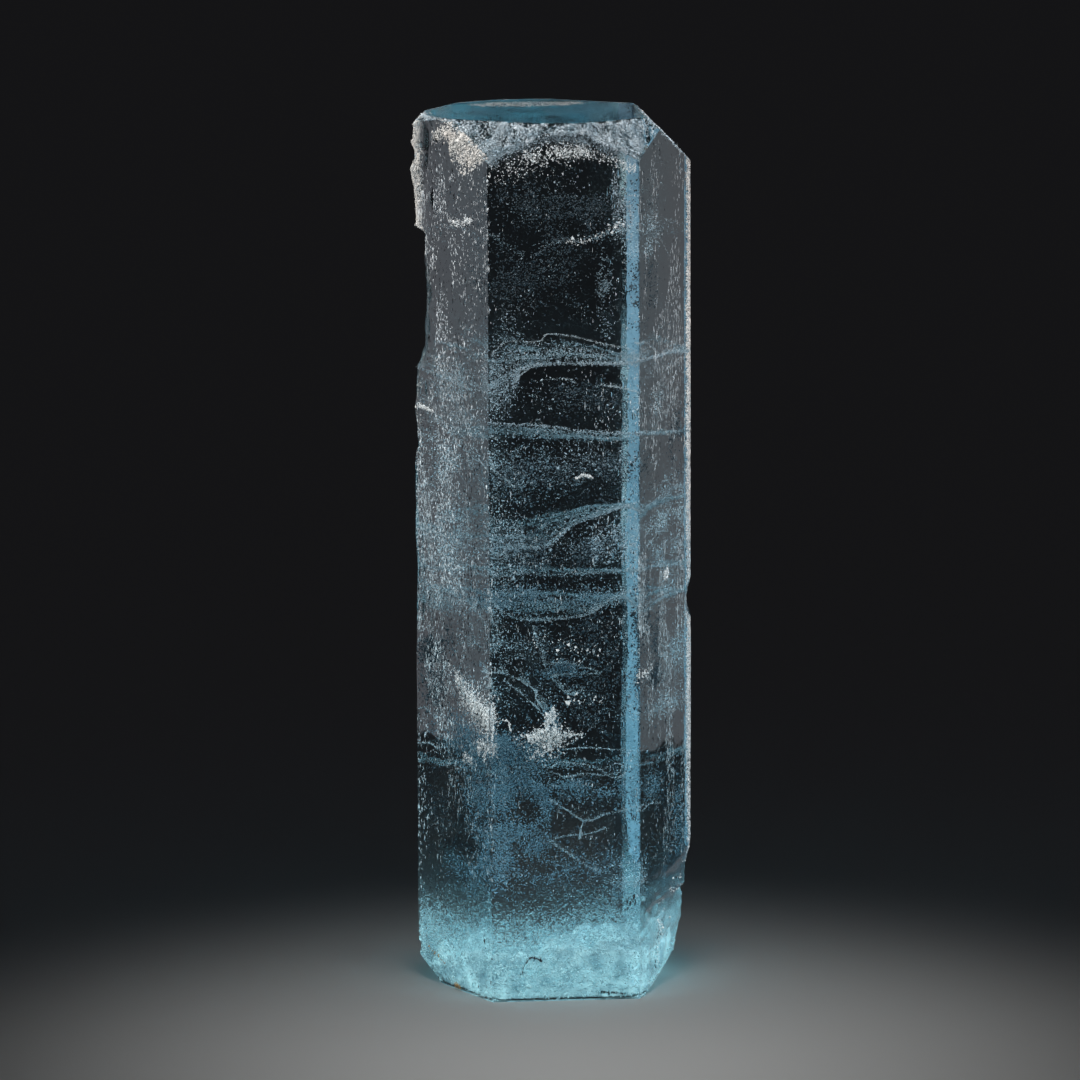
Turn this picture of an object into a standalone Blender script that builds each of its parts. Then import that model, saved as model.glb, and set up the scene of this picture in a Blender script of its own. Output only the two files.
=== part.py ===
"""Aquamarine crystal: one natural six-sided beryl prism that stands on its broken base.

Metres, +Z up. The front prism face looks along -Y, and the origin is the middle of the
bounding box's underside, so the flat base rests on z = 0.

The prism's six faces meet at 120 degrees and are unequally wide, as they grow in nature.
Each of its corners is cut at the top by a pyramid facet at 45 degrees, so that the flat
termination is twelve-sided. The left edge carries a rough crust with an etched hollow
below it, and the foot of the right edge is broken away in steps.
"""

import math

import bmesh
import bpy
from mathutils import Matrix, Vector, noise

# Driving dimensions of the prism.
HEIGHT = 0.075
LEFT_FRONT_WIDTH = 0.0112
FRONT_WIDTH = 0.0127
RIGHT_FRONT_WIDTH = 0.0105
REAR_WIDTH = 0.0125

# How far down its edge each corner's top facet starts, from the front-left corner anticlockwise.
CORNERS = ("front_left", "front_right", "right", "rear_right", "rear_left", "left")
FACET_DROPS = (0.0031, 0.00305, 0.0042, 0.0028, 0.0012, 0.0010)
FACET_TILT = math.radians(45)
FRONT_BEVEL_DROP = 0.0007
FRONT_BEVEL_TILT = math.radians(30)

# The chips at the foot: the corner, the height on its edge and the depth inward at the base.
FOOT_CHIPS = (("left", 0.0021, 0.0018), ("rear_left", 0.0016, 0.0012), ("rear_right", 0.0045, 0.0020))

# The left edge from the top down, as (height, distance inward). Below zero it stands proud, as
# the crust does; the long hollow under the crust and two nicks lie inside the edge.
LEFT_EDGE = (
    (0.0750, 0.0000), (0.0740, -0.0001), (0.0725, -0.00035), (0.0719, 0.00015), (0.0713, -0.0001),
    (0.0707, -0.0003), (0.0693, -0.00018), (0.0686, 0.00018), (0.0679, 0.0000), (0.0665, 0.0000),
    (0.0654, 0.00015), (0.0650, 0.00095), (0.0630, 0.0010), (0.0605, 0.00116), (0.0575, 0.00112),
    (0.0550, 0.00095), (0.0541, 0.00055), (0.0533, 0.0003), (0.0515, 0.00012), (0.0495, 0.0000),
    (0.0474, 0.0000), (0.0468, 0.00025), (0.0462, 0.0000), (0.0033, 0.0000), (0.0027, 0.00035),
    (0.0022, 0.0001), (0.0000, 0.0001),
)
# The right edge in the same way: one shell-shaped nick, and the stepped break down to the base.
RIGHT_EDGE = (
    (0.0750, 0.0000), (0.0347, 0.0000), (0.0342, 0.00025), (0.0334, 0.00042), (0.0324, 0.00038),
    (0.0314, 0.0000), (0.0120, 0.0000), (0.0109, 0.0001), (0.0094, 0.0006), (0.0078, 0.00062),
    (0.0072, 0.00095), (0.0050, 0.0010), (0.0037, 0.00145), (0.0014, 0.0019), (0.0005, 0.0023),
    (0.0000, 0.0026),
)
CRUST_REACH = 0.0012
# The break faces between the right edge and the right-front face, and turns towards the
# right-front face on its way up.
BREAK_TURN_AT_BASE = math.radians(-15)
BREAK_TURN_ABOVE = math.radians(-25)
BREAK_TURN_HEIGHT = 0.006
BREAK_TOP = 0.013

# Relief of the faces: growth hillocks on the prism, and a coarser grain where it is etched or broken.
HILLOCK_SIZE = 0.0042
HILLOCK_DEPTH = 0.00006
GRAIN_SIZE = 0.0011
GRAIN_DEPTH = 0.00022

# Grid lines of the mesh.
ROW_SPACING = 0.0016
ROUGH_ROW_SPACING = 0.0009
ROUGH_ZONES = ((0.0000, 0.0125), (0.0640, 0.0750))
LEAST_ROW_GAP = 0.00028
COLUMNS_BETWEEN_CORNERS = 6
CORNER_COLUMN_TURN = math.radians(3.2)

AQUAMARINE_COLOUR = (0.42, 0.74, 0.82, 1.0)
AQUAMARINE_ROUGHNESS = 0.06
BERYL_IOR = 1.577


def clear_scene():
    for obj in list(bpy.data.objects):
        bpy.data.objects.remove(obj, do_unlink=True)


def prism_corners():
    """The six corners in plan, anticlockwise from the front left. Every side turns by 60 degrees, so the
    three hidden widths follow from the four that are given."""
    right_rear_width = LEFT_FRONT_WIDTH + FRONT_WIDTH - REAR_WIDTH
    left_rear_width = FRONT_WIDTH + RIGHT_FRONT_WIDTH - REAR_WIDTH
    widths = (FRONT_WIDTH, RIGHT_FRONT_WIDTH, right_rear_width, REAR_WIDTH, left_rear_width)
    corners = [Vector((0, 0))]
    for side, width in enumerate(widths):
        turn = math.radians(60 * side)
        corners.append(corners[-1] + width * Vector((math.cos(turn), math.sin(turn))))
    xs = [corner.x for corner in corners]
    ys = [corner.y for corner in corners]
    middle = Vector(((min(xs) + max(xs)) / 2, (min(ys) + max(ys)) / 2))
    return {name: corner - middle for name, corner in zip(CORNERS, corners)}


def outward(corner_name):
    """The unit vector in plan that points out along a corner's bisector."""
    turn = math.radians(60 * CORNERS.index(corner_name) - 120)
    return Vector((math.cos(turn), math.sin(turn)))


def extruded_prism(corners):
    """The plain prism as a mesh, from a flat outline with half its height extruded each way."""
    curve = bpy.data.curves.new("prism_outline", "CURVE")
    curve.dimensions = "2D"
    curve.fill_mode = "BOTH"
    curve.extrude = HEIGHT / 2
    spline = curve.splines.new("POLY")
    spline.points.add(len(corners) - 1)
    for point, corner in zip(spline.points, corners.values()):
        point.co = (corner.x, corner.y, 0, 1)
    spline.use_cyclic_u = True
    outline = bpy.data.objects.new("prism_outline", curve)
    outline.location.z = HEIGHT / 2
    bpy.context.scene.collection.objects.link(outline)
    bpy.context.view_layer.update()
    evaluated = outline.evaluated_get(bpy.context.evaluated_depsgraph_get())
    mesh = bpy.data.meshes.new_from_object(evaluated)
    mesh.transform(outline.matrix_world)
    bpy.data.objects.remove(outline)
    return mesh


def cut(bm, point, normal, keep_both=False):
    """Cuts the body by a plane. What lies in front of it is dropped and the cut is closed, unless both
    sides are kept, which only adds a line of edges."""
    geometry = bm.verts[:] + bm.edges[:] + bm.faces[:]
    bmesh.ops.bisect_plane(
        bm, geom=geometry, dist=1e-7, plane_co=point, plane_no=normal, clear_outer=not keep_both
    )
    if not keep_both:
        rim = [edge for edge in bm.edges if edge.is_boundary]
        bmesh.ops.contextual_create(bm, geom=rim)


def cut_top_facets(bm, corners):
    for name, drop in zip(CORNERS, FACET_DROPS):
        point = Vector((*corners[name], HEIGHT - drop))
        cut(bm, point, Vector((*(outward(name) * math.sin(FACET_TILT)), math.cos(FACET_TILT))))
    rim = Vector((*corners["front_left"], HEIGHT - FRONT_BEVEL_DROP))
    cut(bm, rim, Vector((0, -math.sin(FRONT_BEVEL_TILT), math.cos(FRONT_BEVEL_TILT))))


def cut_foot_chips(bm, corners):
    for name, height, depth in FOOT_CHIPS:
        point = Vector((*corners[name], height))
        cut(bm, point, Vector((*(outward(name) * height), -depth)).normalized())


def row_heights():
    """Heights of the grid's rows: every bend of the two edge profiles, and even rows in between that are
    closer together in the rough zones."""
    heights = [height for height, _ in LEFT_EDGE + RIGHT_EDGE if 0 < height < HEIGHT]
    level = ROUGH_ROW_SPACING
    while level < HEIGHT:
        heights.append(level)
        rough = any(low <= level < high for low, high in ROUGH_ZONES)
        level += ROUGH_ROW_SPACING if rough else ROW_SPACING
    kept = []
    for height in sorted(heights):
        if not kept or height - kept[-1] > LEAST_ROW_GAP:
            kept.append(height)
    return kept


def column_turns(corners):
    """Angles of the upright grid planes through the axis. Opposite corners lie almost in one plane, so
    each pair has a plane close by on either side and the rest are spread evenly between the pairs."""
    turns = sorted(math.atan2(corner.y, corner.x) % math.pi for corner in corners.values())
    pairs = [(turns[i] + turns[i + 1]) / 2 for i in (0, 2, 4)]
    planes = []
    for low, high in zip(pairs, pairs[1:] + [pairs[0] + math.pi]):
        low += CORNER_COLUMN_TURN
        high -= CORNER_COLUMN_TURN
        step = (high - low) / COLUMNS_BETWEEN_CORNERS
        planes += [low + step * i for i in range(COLUMNS_BETWEEN_CORNERS + 1)]
    return planes


def add_grid(bm, corners):
    for height in row_heights():
        cut(bm, Vector((0, 0, height)), Vector((0, 0, 1)), keep_both=True)
    for turn in column_turns(corners):
        cut(bm, Vector((0, 0, 0)), Vector((-math.sin(turn), math.cos(turn), 0)), keep_both=True)


def along(profile, height):
    """The profile's distance inward at this height, by straight lines between its points."""
    for (high, at_high), (low, at_low) in zip(profile, profile[1:]):
        if low <= height <= high:
            share = (height - low) / (high - low)
            return at_low + share * (at_high - at_low)
    return 0.0


def edge_worn(point, corners):
    """Moves a point for the two worn edges: a flat cut where the profile lies inside the edge, and a
    swelling that fades along both faces where it stands proud."""
    plan = Vector((point.x, point.y))
    out = outward("left")
    inside = (corners["left"] - plan).dot(out)
    worn = along(LEFT_EDGE, point.z)
    if worn >= 0:
        plan -= max(0.0, worn - inside) * out
    elif inside < CRUST_REACH:
        plan -= worn * math.sqrt(1 - inside / CRUST_REACH) * out

    worn = along(RIGHT_EDGE, point.z)
    turn = 0.0
    if point.z < BREAK_TOP:
        share = min(1.0, point.z / BREAK_TURN_HEIGHT)
        turn = BREAK_TURN_AT_BASE + share * (BREAK_TURN_ABOVE - BREAK_TURN_AT_BASE)
    out = Vector((math.cos(turn), math.sin(turn)))
    inside = (corners["right"] - plan).dot(out)
    plan -= max(0.0, worn * out.x - inside) * out
    return Vector((plan.x, plan.y, point.z))


def roughness_at(point, corners):
    """From 0 on a clean prism face to 1 on the crust, the frosted top facets and the broken foot."""
    plan = Vector((point.x, point.y))
    near_left = max(0.0, 1 - (plan - corners["left"]).length / 0.0035)
    crust = near_left * min(1.0, max(0.0, (point.z - 0.050) / 0.004))
    facets = min(1.0, max(0.0, (point.z - 0.0725) / 0.002)) * (0.35 if point.x > 0.007 else 0.7)
    foot = min(1.0, max(0.0, (0.010 - point.z) / 0.004)) * (1.0 if point.x > 0.006 else 0.35)
    return min(1.0, max(crust, facets, foot))


def relief(point, normal, corners):
    """The offset of a point along its normal: low hillocks everywhere, drawn out along the prism, and
    grain on the rough parts. The base and the termination stay flat."""
    if point.z < 1e-6 or point.z > HEIGHT - 1e-6:
        return Vector((0, 0, 0))
    stretched = Vector((point.x, point.y, point.z / 3)) / HILLOCK_SIZE
    depth = HILLOCK_DEPTH * noise.noise(stretched)
    grain = noise.fractal(point / GRAIN_SIZE, 0.7, 2.0, 3)
    depth += GRAIN_DEPTH * roughness_at(point, corners) * (grain - 0.3)
    return normal * depth


def shape_surface(bm, corners):
    """Moves the grid's points: first the worn edges, then the relief along the new normals."""
    for vert in bm.verts:
        if math.hypot(vert.co.x, vert.co.y) > 1e-6:
            vert.co = edge_worn(vert.co, corners)
    bm.normal_update()
    moves = [relief(vert.co, vert.normal, corners) for vert in bm.verts]
    for vert, move in zip(bm.verts, moves):
        vert.co += move


def crystal_material():
    material = bpy.data.materials.new("aquamarine")
    material.use_nodes = True
    shader = material.node_tree.nodes["Principled BSDF"]
    shader.inputs["Base Color"].default_value = AQUAMARINE_COLOUR
    shader.inputs["Roughness"].default_value = AQUAMARINE_ROUGHNESS
    shader.inputs["Metallic"].default_value = 0.0
    shader.inputs["IOR"].default_value = BERYL_IOR
    shader.inputs["Transmission Weight"].default_value = 1.0
    material.diffuse_color = AQUAMARINE_COLOUR
    return material


def build_crystal():
    corners = prism_corners()
    mesh = extruded_prism(corners)
    bm = bmesh.new()
    bm.from_mesh(mesh)
    bmesh.ops.remove_doubles(bm, verts=bm.verts, dist=1e-6)
    bmesh.ops.dissolve_limit(bm, angle_limit=0.001, verts=bm.verts, edges=bm.edges)
    cut_top_facets(bm, corners)
    cut_foot_chips(bm, corners)
    add_grid(bm, corners)
    shape_surface(bm, corners)
    bmesh.ops.triangulate(bm, faces=bm.faces)
    bmesh.ops.recalc_face_normals(bm, faces=bm.faces)
    bm.to_mesh(mesh)
    bm.free()

    mesh.name = "aquamarine_crystal"
    xs = [vertex.co.x for vertex in mesh.vertices]
    ys = [vertex.co.y for vertex in mesh.vertices]
    middle = Vector(((min(xs) + max(xs)) / 2, (min(ys) + max(ys)) / 2, 0))
    mesh.transform(Matrix.Translation(-middle))
    mesh.materials.clear()
    mesh.materials.append(crystal_material())
    return bpy.data.objects.new("aquamarine_crystal", mesh)


def main():
    clear_scene()
    collection = bpy.data.collections.new("aquamarine_crystal")
    bpy.context.scene.collection.children.link(collection)
    collection.objects.link(build_crystal())


main()
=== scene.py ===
"""Aquamarine crystal: a clear six-sided prism full of healed fractures, standing on a studio floor.

Lengths inside the script's arrays are millimetres, and each finished mesh is written in metres.
The prism's own axis is the arrays' origin, with +Z up and the widest face towards -Y.
"""

import itertools
import math
from typing import NamedTuple

import bpy
import numpy as np
from bpy.props import FloatProperty, FloatVectorProperty, IntProperty, PointerProperty
from mathutils import Matrix, Vector


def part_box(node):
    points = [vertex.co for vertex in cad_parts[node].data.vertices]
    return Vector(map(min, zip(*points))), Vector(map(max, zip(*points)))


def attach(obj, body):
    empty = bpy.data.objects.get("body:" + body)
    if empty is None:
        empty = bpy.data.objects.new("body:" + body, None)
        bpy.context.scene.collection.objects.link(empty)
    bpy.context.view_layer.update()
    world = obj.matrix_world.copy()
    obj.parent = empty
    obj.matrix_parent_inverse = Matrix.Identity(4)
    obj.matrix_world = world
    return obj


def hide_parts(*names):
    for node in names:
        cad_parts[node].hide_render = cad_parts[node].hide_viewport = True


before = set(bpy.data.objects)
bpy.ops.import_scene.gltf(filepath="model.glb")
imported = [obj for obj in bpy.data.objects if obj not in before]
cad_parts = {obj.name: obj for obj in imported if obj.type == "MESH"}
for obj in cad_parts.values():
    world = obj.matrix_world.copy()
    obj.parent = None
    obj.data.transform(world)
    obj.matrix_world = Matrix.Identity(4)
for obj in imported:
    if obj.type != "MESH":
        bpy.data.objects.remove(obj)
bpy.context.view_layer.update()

bl_info = {
    "name": "Aquamarine Crystal",
    "version": (1, 0, 0),
    "blender": (4, 5, 0),
    "location": "3D View > Sidebar > Crystal",
    "description": "Builds a natural aquamarine prism with its inclusions and a studio stage",
    "category": "Add Mesh",
}

MM = 0.001
NODE = "aquamarine_crystal"
BERYL_IOR = 1.577
node_low, node_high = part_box(NODE)

# The crust on one side and the break on the other move the box's middle away from the prism's axis.
AXIS_IN_FRAME = np.array([0.175, 0.025, 0.0])

# Corners of the prism, anticlockwise from the front left. Side number i runs from corner i to the next.
FRONT_LEFT, FRONT_RIGHT, RIGHT, REAR_RIGHT, REAR_LEFT, LEFT = range(6)
FRONT, RIGHT_FRONT, RIGHT_REAR, LEFT_FRONT = 0, 1, 2, 5
SIDE_TURNS = np.radians(60.0 * np.arange(6) - 90)
CORNER_TURNS = np.radians(60.0 * np.arange(6) - 120)
FACET_DROPS = np.array([3.1, 3.05, 4.2, 2.8, 1.2, 1.0])
FACET_TILT = math.radians(45)
FRONT_BEVEL_DROP = 0.7
FRONT_BEVEL_TILT = math.radians(30)
# The chips at the foot: corner, height on its edge, depth inward at the base.
FOOT_CHIPS = ((LEFT, 2.1, 1.8), (REAR_LEFT, 1.6, 1.2), (REAR_RIGHT, 4.5, 2.0))
WORN_RIM = 0.12

# Height and distance inward along the two worn edges. Below zero the edge stands proud.
LEFT_EDGE = np.array([
    (75.0, 0.0), (74.0, -0.1), (72.5, -0.35), (71.9, 0.15), (71.3, -0.1), (70.7, -0.3), (69.3, -0.18),
    (68.6, 0.18), (67.9, 0.0), (66.5, 0.0), (65.4, 0.15), (65.0, 0.95), (63.0, 1.0), (60.5, 1.16),
    (57.5, 1.12), (55.0, 0.95), (54.1, 0.55), (53.3, 0.3), (51.5, 0.12), (49.5, 0.0), (47.4, 0.0),
    (46.8, 0.25), (46.2, 0.0), (3.3, 0.0), (2.7, 0.35), (2.2, 0.1), (0.0, 0.1),
])
RIGHT_EDGE = np.array([
    (75.0, 0.0), (34.7, 0.0), (34.2, 0.25), (33.4, 0.42), (32.4, 0.38), (31.4, 0.0), (12.0, 0.0),
    (10.9, 0.1), (9.4, 0.6), (7.8, 0.62), (7.2, 0.95), (5.0, 1.0), (3.7, 1.45), (1.4, 1.9), (0.5, 2.3),
    (0.0, 2.6),
])
CRUST_REACH = 1.2
BREAK_TURN_AT_BASE = math.radians(-15)
BREAK_TURN_ABOVE = math.radians(-25)
BREAK_TURN_HEIGHT = 6.0
BREAK_TOP = 13.0

# The direction of sight from the front: 4.8 degrees from the left, and 10.8 degrees down.
SIGHT_TURN = math.radians(-4.8)
SIGHT_TILT = math.radians(10.8)
SIGHT = np.array([
    -math.sin(SIGHT_TURN) * math.cos(SIGHT_TILT), math.cos(SIGHT_TURN) * math.cos(SIGHT_TILT),
    -math.sin(SIGHT_TILT),
])

# The camera and the stage, in metres. The camera aims a little to the left of the crystal's middle, and above.
MIDDLE = (0, 0, 0.0375)
CAMERA_ROLL = math.radians(-0.24)
CAMERA_DISTANCE = 0.525
AIM_RIGHT, AIM_UP = -0.00113, 0.00066
CAMERA_LENS = 204.5
CAMERA_CLIP = (0.01, 20)
FLOOR_DROP = 0.00003


class Veil(NamedTuple):
    """A healed fracture that crosses the prism. Its front and rear curves are knots of (x, height)."""

    front: tuple
    rear: tuple
    film: int
    droplets: int
    waves: float
    patch: tuple


VEILS = (
    Veil(
        ((-11.8, 66.5), (-6.1, 66.2), (-3.6, 64.2), (-2.3, 64.2), (0.6, 65.4), (1.7, 65.2), (3.3, 65.7),
         (5.3, 66.6), (11.8, 67.0)),
        ((-11.8, 64.5), (0.0, 63.5), (11.8, 64.0)), 700, 250, 0.3, (0.1, 0.6),
    ),
    Veil(
        ((-11.8, 53.6), (-9.9, 52.9), (-7.5, 52.4), (-5.9, 53.0), (-4.1, 54.0), (-3.3, 54.5), (-2.4, 54.8),
         (-0.3, 54.9), (2.4, 54.8), (5.3, 54.7), (6.8, 55.0), (9.4, 55.2), (11.8, 55.1)),
        ((-11.8, 53.5), (-5.1, 53.5), (-3.6, 54.6), (-1.0, 54.6), (-0.2, 55.2), (1.8, 55.0), (4.2, 54.4),
         (6.3, 53.8), (11.8, 53.7)), 4200, 3400, 0.12, (-0.5, 0.3),
    ),
    Veil(
        ((-11.8, 55.0), (-11.0, 54.6), (-9.2, 52.9), (-7.8, 51.2), (-6.1, 50.1), (-4.0, 49.9), (-1.4, 49.8),
         (0.8, 49.4), (3.2, 49.1), (5.3, 48.9), (11.8, 48.6)),
        ((-11.8, 50.2), (-9.2, 48.9), (-7.8, 47.5), (-5.1, 46.8), (4.2, 46.4), (11.8, 46.2)),
        3600, 2300, 0.15, (-0.3, 0.4),
    ),
    Veil(
        ((-11.8, 38.6), (-6.0, 39.2), (-3.7, 39.2), (-1.2, 39.5), (0.8, 41.0), (2.4, 41.8), (5.3, 42.7),
         (6.7, 42.2), (8.0, 42.9), (9.8, 43.9), (11.8, 44.6)),
        ((-11.8, 38.9), (-5.0, 39.2), (-3.2, 39.3), (-1.6, 39.7), (1.3, 40.4), (6.3, 40.9), (11.8, 41.2)),
        6000, 2600, 0.2, (-0.5, 0.2),
    ),
    Veil(
        ((-11.8, 36.9), (-4.2, 37.0), (2.1, 37.1), (5.3, 37.2), (11.8, 37.2)),
        ((-11.8, 35.4), (-5.0, 35.4), (-1.5, 35.4), (1.8, 35.2), (6.3, 34.9), (11.8, 34.9)),
        2200, 1100, 0.12, (-0.1, 0.5),
    ),
    Veil(
        ((-11.8, 33.4), (-9.8, 32.8), (-7.4, 33.6), (-6.2, 34.9), (-5.1, 33.9), (-4.1, 33.3), (-2.8, 33.1),
         (-1.5, 33.1), (0.8, 33.3), (2.1, 33.5), (3.3, 34.2), (5.3, 34.9), (6.7, 33.6), (8.0, 34.2),
         (11.8, 34.6)),
        ((-11.8, 33.0), (-5.0, 33.4), (1.0, 33.2), (4.5, 32.8), (11.8, 32.9)),
         5500, 1500, 0.15, (-0.4, 0.3),
    ),
    Veil(
        ((-11.8, 19.6), (-6.0, 20.2), (-1.0, 20.4), (1.5, 20.6), (3.5, 20.1), (5.3, 20.4), (11.8, 20.6)),
        ((-11.8, 18.0), (0.0, 18.6), (11.8, 18.4)), 1800, 400, 0.35, (0.0, 0.5),
    ),
)


class Strewn(NamedTuple):
    """Grains strewn behind one side, between a lower and an upper curve of (across, height), in a range of
    depths. Their size is the mean in millimetres."""

    side: int
    lower: tuple
    upper: tuple
    count: int
    depth: tuple
    size: float


# Faint droplets near the skin.
DROPLET_FIELDS = (
    Strewn(FRONT, ((0.1, 71.4), (2.3, 72.3), (3.9, 73.1), (5.5, 73.5), (7.9, 73.1), (10.5, 72.2),
                   (12.4, 71.5)),
           ((0.1, 72.4), (2.3, 73.4), (3.9, 74.2), (5.5, 74.4), (7.9, 74.3), (10.5, 73.4), (12.4, 72.4)),
           3600, (0.03, 0.5), 0.051),
    Strewn(FRONT, ((0.1, 66.0), (6.0, 67.5), (12.4, 66.0)), ((0.1, 70.0), (6.0, 71.5), (12.4, 71.0)),
           420, (0.1, 1.5), 0.06),
    Strewn(FRONT, ((10.0, 65.5), (12.2, 65.0)), ((10.4, 71.5), (12.2, 71.5)), 700, (0.1, 1.5), 0.085),
    Strewn(FRONT, ((0.1, 57.0), (12.4, 57.0)), ((0.1, 66.0), (12.4, 66.0)), 420, (0.1, 3.0), 0.051),
    Strewn(FRONT, ((0.1, 56.0), (4.0, 57.5)), ((0.1, 61.5), (4.0, 62.0)), 260, (0.1, 1.5), 0.055),
    Strewn(FRONT, ((9.0, 57.0), (12.4, 56.5)), ((9.0, 63.0), (12.4, 63.0)), 260, (0.1, 1.5), 0.055),
    Strewn(FRONT, ((0.1, 50.6), (1.6, 51.0), (2.6, 53.4)), ((0.1, 55.2), (1.6, 55.0), (2.6, 54.6)),
           1500, (0.2, 2.5), 0.064),
    Strewn(FRONT, ((0.1, 53.8), (4.0, 55.1), (8.0, 55.1), (12.4, 54.9)),
           ((0.1, 56.2), (4.0, 57.0), (8.0, 56.8), (12.4, 56.0)), 1500, (0.3, 4.0), 0.06),
    Strewn(FRONT, ((0.1, 50.2), (12.4, 49.2)), ((0.1, 53.5), (12.4, 54.0)), 500, (0.1, 2.5), 0.064),
    Strewn(FRONT, ((0.1, 44.0), (12.4, 44.5)), ((0.1, 49.2), (12.4, 48.7)), 1400, (0.1, 3.0), 0.064),
    Strewn(FRONT, ((6.0, 45.4), (12.4, 45.4)), ((6.0, 48.9), (12.4, 48.5)), 500, (0.1, 2.0), 0.072),
    Strewn(FRONT, ((0.1, 36.5), (3.0, 36.6)), ((0.1, 42.0), (3.0, 41.5)), 1700, (0.1, 2.0), 0.068),
    Strewn(FRONT, ((3.0, 36.6), (8.5, 37.5), (12.4, 37.2)), ((3.0, 41.0), (8.5, 42.0), (12.4, 43.0)),
           1500, (0.1, 2.5), 0.068),
    Strewn(FRONT, ((8.6, 37.6), (12.4, 37.6)), ((8.6, 41.0), (12.4, 42.4)), 420, (0.1, 1.0), 0.128),
    Strewn(FRONT, ((0.1, 33.0), (12.4, 33.4)), ((0.1, 36.8), (12.4, 36.8)), 700, (0.1, 2.0), 0.064),
    Strewn(FRONT, ((0.1, 29.0), (5.0, 29.2)), ((0.1, 33.2), (5.0, 33.0)), 1000, (0.1, 2.0), 0.06),
    Strewn(FRONT, ((5.0, 28.8), (12.4, 28.5)), ((5.0, 33.0), (12.4, 33.6)), 350, (0.1, 2.0), 0.06),
    Strewn(FRONT, ((0.1, 24.6), (12.4, 24.2)), ((0.1, 28.8), (12.4, 28.6)), 900, (0.1, 2.5), 0.06),
    Strewn(FRONT, ((0.1, 16.0), (12.4, 13.0)), ((0.1, 24.6), (12.4, 24.4)), 1500, (0.1, 3.0), 0.06),
    Strewn(FRONT, ((0.1, 9.0), (12.4, 9.0)), ((0.1, 16.0), (12.4, 14.0)), 450, (0.1, 2.0), 0.06),
    Strewn(RIGHT_FRONT, ((0.2, 52.0), (10.6, 52.0)), ((0.2, 56.2), (10.6, 56.4)), 900, (0.1, 3.0), 0.064),
    Strewn(RIGHT_FRONT, ((0.2, 36.0), (10.6, 33.0)), ((0.2, 43.5), (10.6, 43.5)), 1100, (0.1, 3.0), 0.064),
    Strewn(RIGHT_FRONT, ((0.2, 22.0), (10.6, 22.0)), ((0.2, 36.0), (10.6, 33.5)), 700, (0.1, 3.0), 0.06),
    Strewn(LEFT_FRONT, ((0.2, 31.0), (11.0, 33.0)), ((0.2, 43.0), (11.0, 43.4)), 900, (0.1, 4.0), 0.064),
)

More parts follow.
